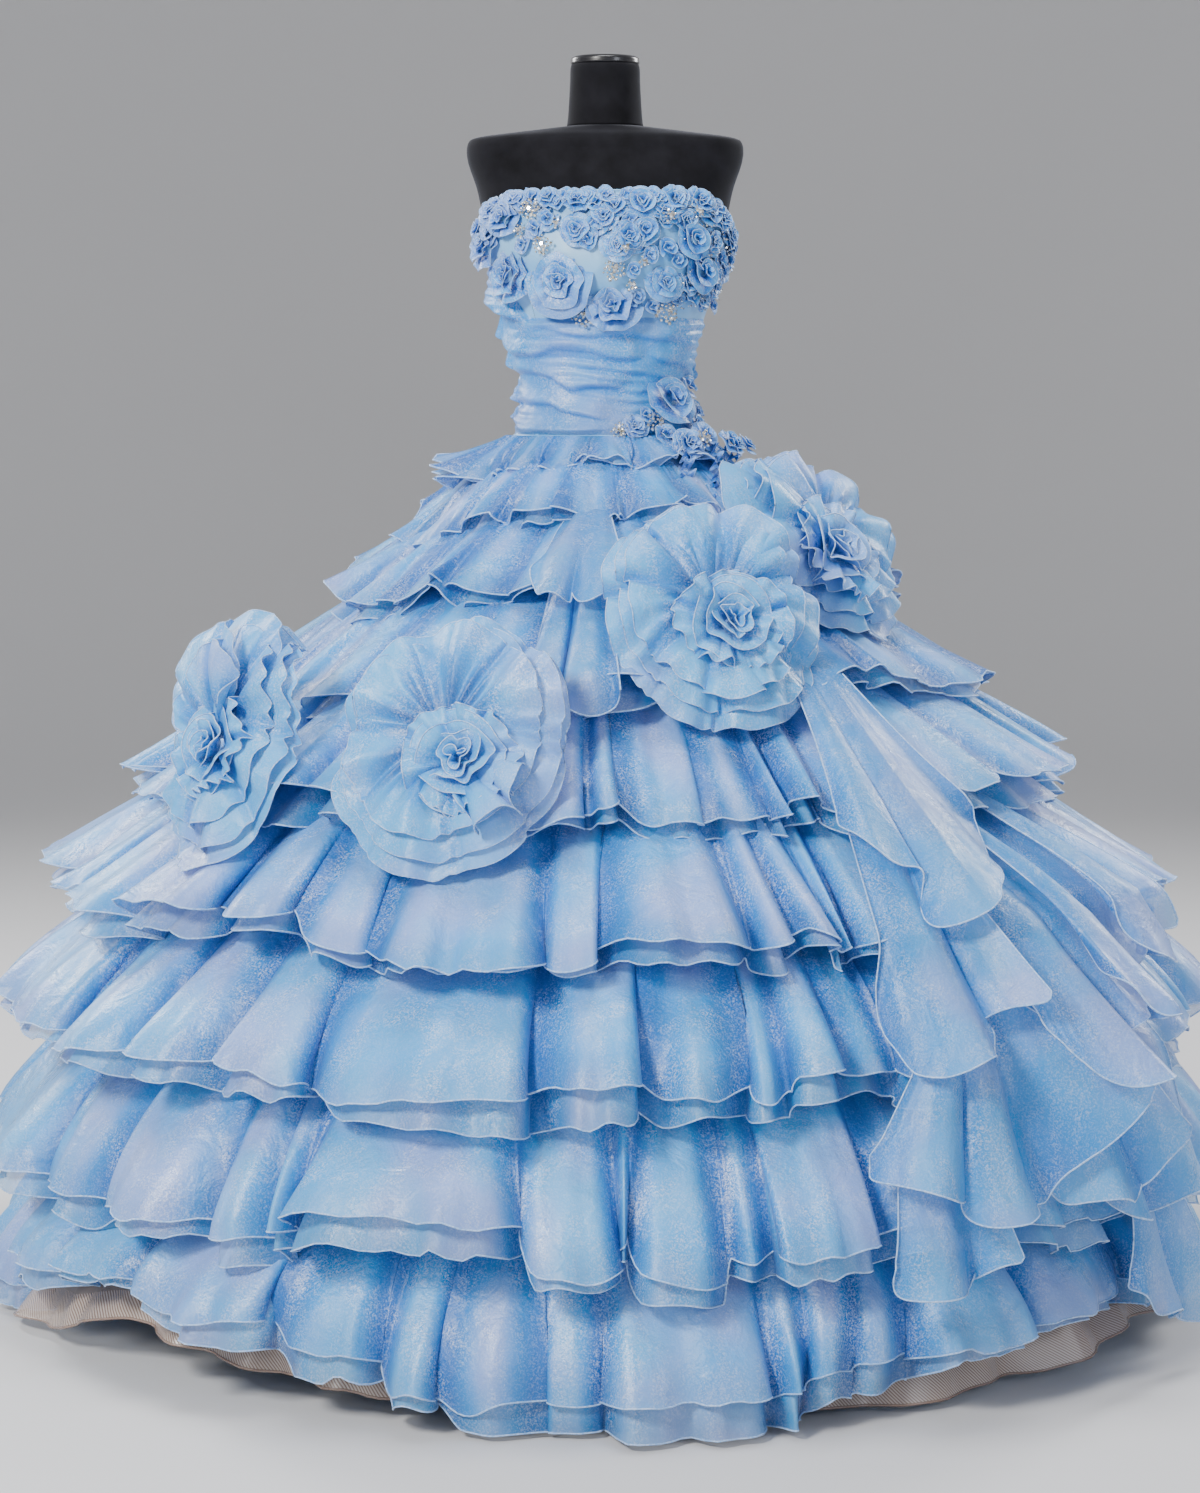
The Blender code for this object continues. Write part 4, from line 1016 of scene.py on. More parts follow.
def gathered_strip(middle, axes, turns, phase, root, lift, width, opening, waves, depth, rng, rows,
                   per_turn, jag=0.10, contrast=0.25, frill=0.0, taper=0.0, pleats=0.10):
    """A strip gathered at its root and coiled round an axis, and the painted shade on each point.

    root, lift, width and opening (degrees from the axis) are each one value, or a pair of them for
    the inner and the outer end of the coil. jag is how much its petals differ, contrast how much
    painted shade their waves get, frill the height of the ruffle along its edge, taper how much its
    ends narrow, and pleats the depth of its gathers over its width.
    """
    side, upward, facing = axes
    along = np.linspace(0, 1, int(per_turn * turns) + 1)[None, :]
    out = np.linspace(0, 1, rows)[:, None]
    theta = phase + 2 * np.pi * turns * along
    root, lift, width, opening = (inner + (outer - inner) * along for inner, outer in (
        np.broadcast_to(ends, 2) for ends in (root, lift, width, opening)))
    a, b, c, d = rng.uniform(0, 6.28, 4)
    slow, medium, quick = (1, 2, 3) if turns == 1 else (1.7, 2.3, 2.9)
    beat = waves * theta + 0.9 * np.sin(theta * slow + a) + 0.6 * np.sin(theta * quick + b)
    petals = 1 + jag * np.sin(theta * medium + c) + 0.5 * jag * np.sin(beat + d)
    reach = width * petals * out * (1 - taper * (1 - np.sin(np.pi * along) ** 0.6))
    lean = np.radians(opening + 14 * out ** 2 + 5 * np.sin(theta * quick + d) * out)
    wave = depth * out ** 1.15 * (np.sin(beat) + 0.30 * np.sin(beat * 2 + a))
    wave = wave + frill * out ** 6 * np.sin(theta * 23 + 2 * np.sin(theta * 2 + c))
    pleating = (np.sin(theta * 19 + 2 * np.sin(theta * 4 + b))
                + 0.9 * np.sin(theta * 8 + 2 * np.sin(theta * 3 + c)))
    gathers = pleats * width * pleating * out * (1 - out) ** 1.6
    radial = root + reach * np.sin(lean) + (wave + gathers) * np.cos(lean)
    rise = lift + reach * np.cos(lean) - (wave + gathers) * np.sin(lean)
    twist = theta + 0.08 * out * np.cos(beat)
    grid = (np.array(middle) + radial[..., None] * (np.cos(twist)[..., None] * side
                                                    + np.sin(twist)[..., None] * upward)
            + rise[..., None] * facing)
    # painted shade: dark towards the root, along the waves and in the gathers
    shade = np.clip(0.95 * (1 - out) ** 1.5 + contrast * np.sin(beat) * out - 0.04
                    - 3.52 * pleats * pleating * (1 - out) ** 1.3 * out ** 0.6, 0, 1)
    return grid, shade


def join_sheets(name, sheets, material, edge_radius=None):
    """One object from several strips and their painted shade: cloth in its first slot, rolled edges
    in its second.
    """
    points, faces, slots, shades, total = [], [], [], [], 0
    for grid, shade in sheets:
        parts = [(grid.reshape(-1, 3), grid_faces(*grid.shape[:2], False), 0, shade.ravel())]
        if edge_radius:
            ring, quads = tube(grid[-1], edge_radius, 3)
            parts.append((ring, quads, 1, np.zeros(len(ring))))
        for corners, quads, slot, strip_shade in parts:
            points.append(corners)
            faces.append(quads + total)
            slots.append(np.full(len(quads), slot))
            shades.append(strip_shade)
            total += len(corners)
    return add_mesh(name, np.concatenate(points), np.concatenate(faces), [material, hem_thread_highlight],
                    slots=np.concatenate(slots), attributes={"fold": np.concatenate(shades)})


skirt_trees = {
    piece.name: BVHTree.FromPolygons([vertex.co for vertex in piece.data.vertices],
                                     [face.vertices for face in piece.data.polygons])
    for piece in bpy.context.scene.objects if piece.name.endswith(("_flounce", "_upper_ply"))}


def widened(reach, axis=1):
    """The greatest reach at each place and its two neighbours."""
    return np.maximum(reach, np.maximum(np.roll(reach, 1, axis), np.roll(reach, -1, axis)))


def skirt_reach(trees, blanket=True):
    """How far out cloth stands at each height and angle, or a blanket laid over it would."""
    reach = np.zeros((len(REACH_HEIGHTS), len(REACH_ANGLES)))
    for row, height in enumerate(REACH_HEIGHTS):
        for column, angle in enumerate(REACH_ANGLES):
            out = Vector(on_oval(angle, 1.0, 1.0, 0.0))
            start = out * REACH_FROM + Vector((0, 0, height))
            hits = [tree.ray_cast(start, -out)[3] for tree in trees]
            reaches = [REACH_FROM - hit for hit in hits if hit is not None]
            reach[row, column] = max(reaches, default=0.0)
    if not blanket:
        return reach
    reach = widened(widened(np.maximum.accumulate(reach, axis=0)))
    for _ in range(3):
        reach[:, 1:-1] = (reach[:, :-2] + 2 * reach[:, 1:-1] + reach[:, 2:]) / 4
        reach[1:-1] = (reach[:-2] + 2 * reach[1:-1] + reach[2:]) / 4
    return reach


# for a panel over the whole skirt, and for one whose top is tucked under what is named
TUCKED = {"over": (), "under_tier": ("tier_1", "peplum"), "under_peplum": ("peplum_1", "peplum_2")}
reach_grids = {
    key: skirt_reach([tree for name, tree in skirt_trees.items() if not name.startswith(hidden)])
    for key, hidden in TUCKED.items()}


def reach_at(angle, height, key="over"):
    """How far out the skirt stands at angles and heights, between its measured places."""
    reach = reach_grids[key]
    column = np.clip((angle - REACH_ANGLES[0]) / REACH_STEP, 0, len(REACH_ANGLES) - 1.001)
    row = np.clip((REACH_HEIGHTS[0] - height) / REACH_DROP, 0, len(REACH_HEIGHTS) - 1.001)
    c, r = column.astype(int), row.astype(int)
    dc, dr = column - c, row - r
    return ((reach[r, c] * (1 - dc) + reach[r, c + 1] * dc) * (1 - dr)
            + (reach[r + 1, c] * (1 - dc) + reach[r + 1, c + 1] * dc) * dr)


def laid_on_skirt(grid, clear):
    """The grid with every point pushed straight out to lie clear of the skirt by a distance."""
    angle = np.degrees(np.arctan2(grid[..., 0], -grid[..., 1]))
    out = np.hypot(grid[..., 0], grid[..., 1])
    grow = np.maximum(reach_at(angle, grid[..., 2]) + clear, out) / out
    return grid * np.stack([grow, grow, np.ones_like(grow)], -1)


rosette_organza = organza_material("pale_rosette_organza", "0866B4", "1C94E2", "54B6F4", "8CACF0",
                                   0.90, 0.88)

for number, (name, angle, tilt, radius, turn, offset, squash, across) in enumerate(ROSETTES):
    rng = np.random.default_rng(120 + number)
    low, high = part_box(name + "_ruffle")
    rise = math.radians(tilt)
    facing = Vector(on_oval(angle, 1.0, 1.0, 0.0)) * math.cos(rise) + Vector((0, 0, math.sin(rise)))
    side, upward, out = disc_axes(facing)
    axes = (side * squash, upward, out)
    middle = np.array((low + high) / 2) - axes[2] * 0.002 + axes[0] * across
    heart = middle + axes[0] * offset[0] + axes[1] * offset[1]
    rings = (
        # root, lift, width, opening, depth, where it starts, its middle, and its share of shade
        (0.034, -0.006, radius - 0.036, 87, 0.0125, 0.0, middle, 0.35),
        (0.032, 0.002, radius - 0.043, 83, 0.0125, 0.45,
         middle + axes[0] * 0.005 + axes[1] * 0.007, 0.50),
        (0.028, 0.010, radius - 0.055, 77, 0.0115, 0.20,
         middle - axes[0] * 0.003 + axes[1] * 0.012, 1.0),
        (0.014, 0.014, 0.056, 62, 0.0090, 0.5, heart, 1.0),
    )
    sheets = []
    for index, (root, lift, width, opening, depth, begin, centre, shown) in enumerate(rings):
        draw = rng if index == 3 else np.random.default_rng(500 + number)
        grid, shade = gathered_strip(centre, axes, 1, turn + begin, root, lift, width, opening, 7,
                                     depth, draw, 12, 190, jag=0.09, contrast=0.26, frill=0.0056,
                                     pleats=0.19)
        sheets.append((laid_on_skirt(grid, 0.008 + 0.005 * index), shade * shown))
    for part, begin, root, lift, width, opening, waves, depth in LOOSE_PETALS[name]:
        grid, shade = gathered_strip(middle, axes, part, math.radians(begin), root, lift,
                                     width * radius, opening, waves / part / 2, depth, rng, 10, 240,
                                     jag=0.06, contrast=0.2, frill=0.003, taper=0.6)
        sheets.append((laid_on_skirt(grid, 0.012), shade))
    for turns, begin, *sizes, rows, per_turn in HEART_COILS:
        sheets.append(gathered_strip(heart, axes, turns, turn + begin, *sizes, rng, rows, per_turn))
    piece = join_sheets(name + "_organza", sheets, rosette_organza, 0.0009)
    fasten("organza", piece)
    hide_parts(name + "_ruffle", name + "_heart")


# ---- Bodice roses ---------------------------------------------------------------------------
# Small roses of the same organza, each a gathered strip coiled on itself and caught down by hand,
# packed over the bust and round the sides, with a spray of them on the waist seam.
BODICE_ROSES = (
    # angle, height, radius, kind
    (-23, 1.319, 0.046, "flat"), (4, 1.286, 0.035, "full"), (31, 1.319, 0.027, "flat"),
    (44, 1.373, 0.026, "cup"), (-51, 1.399, 0.026, "full"), (-71, 1.364, 0.030, "full"),
    (-55, 1.326, 0.034, "side"), (54, 1.333, 0.028, "cup"), (-1, 1.400, 0.020, "cup"),
    (11, 1.376, 0.022, "full"), (27, 1.408, 0.018, "full"), (-26, 1.398, 0.016, "bud"),
    (38, 1.398, 0.018, "full"), (-8, 1.372, 0.015, "bud"), (30, 1.362, 0.014, "bud"),
    (50, 1.350, 0.015, "bud"), (64, 1.336, 0.019, "cup"), (46, 1.318, 0.016, "full"),
    (-62, 1.386, 0.020, "cup"), (-84, 1.372, 0.022, "full"), (76, 1.336, 0.020, "cup"),
    (-12, 1.421, 0.019, "full"), (-4, 1.418, 0.015, "bud"), (4, 1.414, 0.017, "cup"),
    (15.6, 1.419, 0.022, "cup"), (24, 1.424, 0.013, "bud"), (31, 1.423, 0.020, "full"),
    (38, 1.417, 0.013, "bud"), (45, 1.421, 0.021, "full"), (53, 1.407, 0.019, "cup"),
    (62, 1.402, 0.020, "full"), (-21, 1.418, 0.014, "bud"), (-29, 1.410, 0.013, "bud"),
    (-38, 1.421, 0.016, "bud"), (-46, 1.424, 0.014, "bud"), (-60, 1.410, 0.019, "full"),
    (-13, 1.384, 0.022, "cup"), (-4, 1.391, 0.016, "bud"), (5, 1.364, 0.022, "flat"),
    (17.5, 1.383, 0.021, "cup"), (11, 1.396, 0.015, "bud"), (-33, 1.386, 0.014, "bud"),
    (-41, 1.366, 0.013, "bud"), (27, 1.395, 0.012, "bud"), (36, 1.345, 0.014, "bud"),
    (58, 1.372, 0.018, "full"), (68, 1.352, 0.018, "bud"), (70, 1.318, 0.019, "full"),
    (50, 1.302, 0.016, "bud"), (40, 1.298, 0.014, "bud"), (61, 1.300, 0.016, "full"),
    (74, 1.384, 0.018, "cup"), (-78, 1.389, 0.019, "cup"),
    (80, 1.292, 0.016, "bud"), (26, 1.288, 0.013, "bud"), (17, 1.300, 0.012, "bud"),
    (21, 1.352, 0.013, "bud"), (14, 1.334, 0.011, "bud"), (85, 1.352, 0.019, "full"),
)
EDGE_ROSES = (
    # angle, radius, kind: set just under the top edge
    (-66, 0.015, "bud"), (-54, 0.013, "bud"), (-42, 0.015, "cup"), (-33, 0.014, "bud"),
    (-25, 0.016, "full"), (-17, 0.013, "bud"), (-8, 0.015, "cup"), (0, 0.014, "bud"),
    (9.5, 0.013, "bud"), (21, 0.014, "bud"), (35, 0.015, "bud"), (49, 0.014, "bud"),
    (57, 0.016, "full"), (68, 0.016, "bud"), (78, 0.018, "full"), (-84, 0.016, "bud"),
    (-94, 0.020, "full"), (-105, 0.016, "bud"), (-115, 0.018, "cup"), (-126, 0.014, "bud"),
    (-136, 0.018, "full"), (-147, 0.014, "bud"), (-157, 0.017, "cup"), (-168, 0.013, "bud"),
    (88, 0.017, "bud"), (97, 0.020, "full"), (108, 0.015, "bud"), (118, 0.018, "cup"),
    (129, 0.014, "bud"), (139, 0.018, "full"), (150, 0.014, "bud"), (160, 0.016, "cup"),
    (169, 0.013, "bud"),
)
CORSAGE_ROSES = (
    # angle, height, radius, kind, how far off the bodice
    (45, 1.168, 0.036, "cup", 0.016), (18, 1.136, 0.017, "full", 0.010),
    (34, 1.124, 0.019, "bud", 0.018), (42, 1.112, 0.024, "full", 0.034),
    (58, 1.122, 0.022, "cup", 0.030), (70, 1.186, 0.018, "bud", 0.010),
    (74, 1.154, 0.021, "full", 0.012), (72, 1.113, 0.022, "full", 0.046),
    (86, 1.110, 0.019, "cup", 0.056), (27, 1.150, 0.012, "bud", 0.010),
    (64, 1.138, 0.015, "bud", 0.020), (96, 1.116, 0.016, "bud", 0.040),
)
ROSE_CUT = (17.0, 0.014, 0.238)          # length, width and flat area of all their strips
CORSAGE_CUT = (3.2, 0.015, 0.048)
ROSE_KINDS = {
    # for each strip: turns, root, lift and width over the radius, opening, waves, depth over the
    # radius, rows, columns in a turn, jag and the contrast of its painted shade. A pair is for its
    # inner and outer end
    "flat": ((1, 0.16, 0.04, 0.84, 80, 5, 0.05, 7, 72, 0.05, 0.16),
             (1, 0.14, 0.10, 0.62, 68, 5, 0.06, 6, 60, 0.08, 0.16),
             (1, 0.10, 0.16, 0.38, 54, 4, 0.06, 5, 44, 0.08, 0.20),
             (1.9, (0.02, 0.10), (0.26, 0.20), (0.14, 0.26), (10, 44), 3, 0.04, 5, 28, 0.12, 0.28)),
    "cup": ((1, 0.34, 0.02, 0.66, 72, 4, 0.06, 5, 48, 0.07, 0.28),
            (1, 0.24, 0.12, 0.58, 48, 3, 0.05, 5, 40, 0.07, 0.28),
            (1.7, (0.02, 0.20), (0.28, 0.24), (0.32, 0.42), (12, 34), 3, 0.05, 5, 30, 0.12, 0.28)),
    "side": ((1.2, (0.30, 0.40), (0.02, 0.0), (0.66, 0.70), (66, 84), 6, 0.10, 6, 44, 0.12, 0.28),
             (1.6, (0.10, 0.34), (0.20, 0.14), (0.44, 0.60), (30, 60), 5, 0.10, 5, 30, 0.12, 0.28),
             (1.6, (0.02, 0.14), (0.28, 0.26), (0.26, 0.42), (8, 32), 4, 0.07, 5, 30, 0.12, 0.28)),
    "bud": ((2.1, (0.04, 0.36), (0.24, 0.06), (0.36, 0.70), (10, 70), 4, 0.09, 5, 26, 0.12, 0.28),),
    "full": ((1.5, (0.28, 0.44), (0.10, 0.0), (0.60, 0.64), (60, 80), 6, 0.11, 5, 36, 0.12, 0.28),
             (1.5, (0.14, 0.30), (0.24, 0.14), (0.46, 0.58), (34, 58), 5, 0.10, 5, 30, 0.12, 0.28),
             (1.6, (0.02, 0.14), (0.30, 0.26), (0.26, 0.40), (8, 32), 4, 0.07, 5, 30, 0.12, 0.28)),
}
ROSE_OFF = 0.003                         # a rose is sewn this far off the bodice
ROSE_EDGE = 0.0005                       # radius of its rolled edge
TRAILS = (
    # angle and height at the top and at the bottom of each ribbon
    (40, 1.118, 30, 1.050), (58, 1.112, 44, 1.040), (76, 1.118, 70, 1.066),
)
TRAIL_OFF = 0.034                        # the ribbons lie this far off the foundation


def bodice_facing(angle, height, tilt=0.0):
    """The direction the bodice faces at a place, leaned upwards by a number of degrees."""
    turn = math.radians(angle)
    out = Vector((float(smooth(TORSO, height, 2)) * math.sin(turn),
                  -float(smooth(TORSO, height, 1)) * math.cos(turn), 0.0)).normalized()
    lean = math.radians(tilt)
    return (out * math.cos(lean) + Vector((0, 0, math.sin(lean)))).normalized()


def small_rose(middle, facing, radius, kind, rng):
    """The strips of one small rose: a coiled heart and the petals round it."""
    axes = disc_axes(facing)
    phase = rng.uniform(0, 6.28)
    strips = []
    for turns, *sizes, opening, waves, depth, rows, per_turn, jag, shade_contrast in ROSE_KINDS[kind]:
        root, lift, width = (np.multiply(size, radius) for size in sizes)
        strips.append(gathered_strip(middle, axes, turns, phase + rng.uniform(0, 2), root, lift,
                                     width, opening, waves, depth * radius, rng, rows, per_turn,
                                     jag=jag, contrast=shade_contrast))
    return strips


rose_organza = organza_material("rose_blue_silk_organza", "044EA0", "127CD4", "48A6EC", "7CA2E6")

rng = np.random.default_rng(311)
rose_strips, corsage_strips = [], []
places = [(*rose, ROSE_OFF) for rose in BODICE_ROSES]
places += [(angle, float(top_edge(angle)) - 0.6 * radius, radius, kind, ROSE_OFF)
           for angle, radius, kind in EDGE_ROSES]
for angle, height, radius, kind, off in places:
    lean = (10 if height < 1.40 else 28) + rng.uniform(-8, 8)
    rose_strips += small_rose(bodice_ring(float(angle), height, off),
                              bodice_facing(angle, height, lean), radius, kind, rng)
for angle, height, radius, kind, off in CORSAGE_ROSES:
    corsage_strips += small_rose(bodice_ring(float(angle), height, off),
                                 bodice_facing(angle, height, 24 + 400 * off), radius, kind, rng)

# three gathered ribbons trail from the spray down over the first flounce
for angle, height, end_angle, end_height in TRAILS:
    share = np.linspace(0, 1, 60)[None, :]
    across = np.linspace(-1, 1, 7)[:, None]
    bearing = angle + (end_angle - angle) * share + across * 3.2 * (0.6 + 0.6 * share)
    level = height + (end_height - height) * share
    ruffle = 0.007 * np.abs(across) * np.sin(2 * np.pi * share * 4.5 + across + angle)
    grid = on_oval(bearing, smooth(FOUNDATION, level, 1) + TRAIL_OFF + ruffle,
                   smooth(FOUNDATION, level, 2) + TRAIL_OFF + ruffle, level + ruffle * 0.8)
    # painted shade: darker along each ribbon's gathered middle, paler towards its edges
    corsage_strips.append((grid, np.clip(0.7 - 0.6 * np.abs(across) + 0 * share, 0, 1)))

for name, strips, nodes, cut in (
        ("bodice_roses", rose_strips, [f"rose_{number:02d}" for number in range(1, 9)], ROSE_CUT),
        ("corsage_roses", corsage_strips, ["corsage_rose_1", "corsage_rose_2"], CORSAGE_CUT)):
    piece = join_sheets(name, strips, rose_organza, ROSE_EDGE)
    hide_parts(*nodes)
    fasten("rose_cloth", piece)


# ---- Crystals -------------------------------------------------------------------------------
# Foil-backed glass rhinestones in small silver-plated cups, sewn on in clusters between the roses
# and on the waist spray, with single glass beads scattered among the roses at the side.
CLUSTERS = (
    # angle, height, cluster radius, number of stones, how far off the bodice
    (-33, 1.411, 0.014, 26, 0.010), (-29, 1.366, 0.013, 24, 0.008), (4, 1.334, 0.015, 30, 0.007),
    (-11.5, 1.277, 0.016, 28, 0.008), (33, 1.281, 0.016, 28, 0.012), (27, 1.402, 0.009, 10, 0.016),
    (8.5, 1.360, 0.006, 5, 0.016), (18, 1.344, 0.008, 9, 0.006), (-41, 1.384, 0.010, 12, 0.006),
    (42, 1.408, 0.008, 8, 0.012), (13, 1.315, 0.008, 8, 0.005), (-22, 1.392, 0.008, 7, 0.006),
    (9, 1.129, 0.013, 22, 0.008), (33, 1.142, 0.015, 26, 0.014), (50, 1.120, 0.012, 16, 0.044),
    (60, 1.178, 0.009, 8, 0.014),
)
SIDE_BEADS = 260
STONE_RADIUS = 0.0024
STONE_SIDES = 8
GOLDEN_TURN = 2.39996                    # radians from one stone of a cluster to the next

# cut glass over foil: bright, with hard small reflections and a faint gold in the depths. Each cell
# of its colour is about one stone wide.
crystal, crystal_tree, crystal_shader = new_material(
    "foiled_cut_glass",
    {"Metallic": 0.75, "Roughness": 0.08, "Coat Weight": 1.0, "Coat Roughness": 0.02})
crystal_place = add_node(crystal_tree, "ShaderNodeTexCoord").outputs["Object"]
crystal_cells = add_node(crystal_tree, "ShaderNodeTexVoronoi",
                         {"Vector": crystal_place, "Scale": 420.0})
crystal_split = add_node(crystal_tree, "ShaderNodeSeparateColor",
                         {"Color": crystal_cells.outputs["Color"]})
crystal_shade = add_node(crystal_tree, "ShaderNodeValToRGB", {"Fac": crystal_split.outputs["Red"]},
                         stops=((0.10, "A39E8C"), (0.40, "E4E5E6"), (0.90, "FFFBEC")))
drive(crystal_tree, crystal_shader, {"Base Color": crystal_shade.outputs["Color"]})

# the stones: a low cone cut flat on top for each place, turned to face out and scaled to its size
stone_tree, stone_in, stone_out = new_tree("set_stones", {"Radius": 0.002})
stone_cone = add_node(stone_tree, "GeometryNodeMeshCone",
                      {"Vertices": STONE_SIDES, "Radius Top": 0.55, "Radius Bottom": 1.0,
                       "Depth": 0.7})
stone_size = add_node(stone_tree, "GeometryNodeInputNamedAttribute", {"Name": "size"},
                      data_type="FLOAT")
stone_facing = add_node(stone_tree, "GeometryNodeInputNamedAttribute", {"Name": "facing"},
                        data_type="FLOAT_VECTOR")
stone_turn = add_node(stone_tree, "FunctionNodeAlignRotationToVector",
                      {"Vector": stone_facing.outputs["Attribute"]}, axis="Z")
stone_scale = add_node(stone_tree, "ShaderNodeMath",
                       {0: stone_size.outputs["Attribute"], 1: stone_in.outputs["Radius"]},
                       operation="MULTIPLY")
stone_set = add_node(stone_tree, "GeometryNodeInstanceOnPoints",
                     {"Points": stone_in.outputs["Geometry"],
                      "Instance": stone_cone.outputs["Mesh"],
                      "Rotation": stone_turn.outputs["Rotation"],
                      "Scale": stone_scale.outputs["Value"]})
end_tree(stone_tree, stone_out, stone_set.outputs["Instances"], crystal)

stone_points, stone_sizes, stone_facings = [], [], []
for angle, height, reach, count, off in CLUSTERS:
    side, upward, out = disc_axes(bodice_facing(angle, height, 8))
    middle = bodice_ring(float(angle), height, off)
    for index in range(count):
        share = math.sqrt((index + 0.5) / count)
        turn = index * GOLDEN_TURN
        along = math.cos(turn) * side + math.sin(turn) * upward
        dome = 0.45 * reach * (1 - share * share)
        stone_points.append(middle + reach * share * along + dome * out)
        stone_facings.append(out + 0.8 * share * along)
        stone_sizes.append(rng.uniform(0.55, 1.25) if index else 1.7)
for index in range(SIDE_BEADS):
    angle = rng.uniform(36, 88)
    height = rng.uniform(1.285, float(top_edge(angle)) - 0.010)
    stone_points.append(bodice_ring(angle, height, rng.uniform(0.004, 0.012)))
    stone_facings.append(np.array(bodice_facing(angle, height, rng.uniform(-30, 50))))
    stone_sizes.append(rng.uniform(0.40, 0.85))
stones = made_by(stone_tree, {"Radius": STONE_RADIUS}, "crystal_clusters", stone_points,
                 attributes={"size": stone_sizes, "facing": stone_facings})
fasten("nickel", stones)


# ---- Petticoat ------------------------------------------------------------------------------
# A nude tulle flounce under the lowest tier, stiffened at its hem with woven horsehair braid, so
# that it stands out in open loops where the skirt lifts.
PETTICOAT = (0.200, 0.012, 0.714, 0.014, 0.012)   # seam and hem height, hem radius, crests, valleys
PETTICOAT_FLUTES = ((-84, 0.010), (-66, 0.052), (-50, 0.030), (-33, 0.012), (-14, 0.004),
                    (6, 0.002), (24, 0.006), (42, 0.034), (60, 0.036), (76, 0.012))
BRAID_ROWS = 4
STANDS_OUT = (66, 18, 0.080)             # bearing at each side, width, and share added to its reach

# nude tulle: a fine hexagon net, far more air than yarn; drawn as a soft veil with a 3 mm net
tulle = patterned_material(
    "nude_nylon_tulle",
    {"Roughness": 0.6, "Sheen Weight": 0.4, "Sheen Roughness": 0.4, "Alpha": 0.45},
    shade=(dict(kind="ShaderNodeTexNoise", inputs={"Scale": 9.0, "Detail": 3.0}),
           (0.3, "AC9A92"), (0.7, "D2C2BA")),
    relief=(dict(kind="ShaderNodeTexVoronoi", inputs={"Scale": 330.0}, output="Distance",
                 feature="DISTANCE_TO_EDGE"), 0.4, 0.0006))

# horsehair braid: crossed nylon monofilament, glassy and ribbed on the bias about every 2 mm. Its
# copper to pale stripes follow the ribs: partly the yarn's own tone, partly a painted highlight on
# each rib.
BRAID_RIB = dict(kind="ShaderNodeTexWave", inputs={"Scale": 140.0, "Distortion": 0.6},
                 bands_direction="DIAGONAL")
braid = patterned_material(
    "woven_horsehair_braid", {"Roughness": 0.26, "Specular IOR Level": 0.8, "Alpha": 0.60},
    shade=(BRAID_RIB, (0.25, "A88E80"), (0.75, "EADACE")), relief=(BRAID_RIB, 0.35, 0.0004),
    chart="UV")

edges = flute_edges(PETTICOAT_FLUTES, np.random.default_rng(61))
grid, shade = flounce(*PETTICOAT, edges, 62, lettuce=0.0022, wave_length=0.16, lap=0.0, swell=0.007,
                      sunk=0.0, fold_width=0.16, uneven=0.006, step=1.0)
bearing = np.degrees(np.arctan2(grid[..., 0], -grid[..., 1]))
stands_out = (np.exp(-((np.abs(bearing) - STANDS_OUT[0]) / STANDS_OUT[1]) ** 2)
              * np.linspace(0, 1, len(grid))[:, None])
grid[..., :2] *= 1 + STANDS_OUT[2] * stands_out[..., None]
net = add_sheet("petticoat_tulle", grid[:-BRAID_ROWS + 1], tulle, closed=True)
band = add_sheet("petticoat_hem_braid", grid[-BRAID_ROWS:], braid, closed=True)
cord = add_rolls("petticoat_hem_cord", [grid[-1]], 0.0018, closed=True, material=braid, sides=5)
fasten("tulle", net, band, cord)
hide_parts("petticoat")
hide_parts("petticoat_braid")


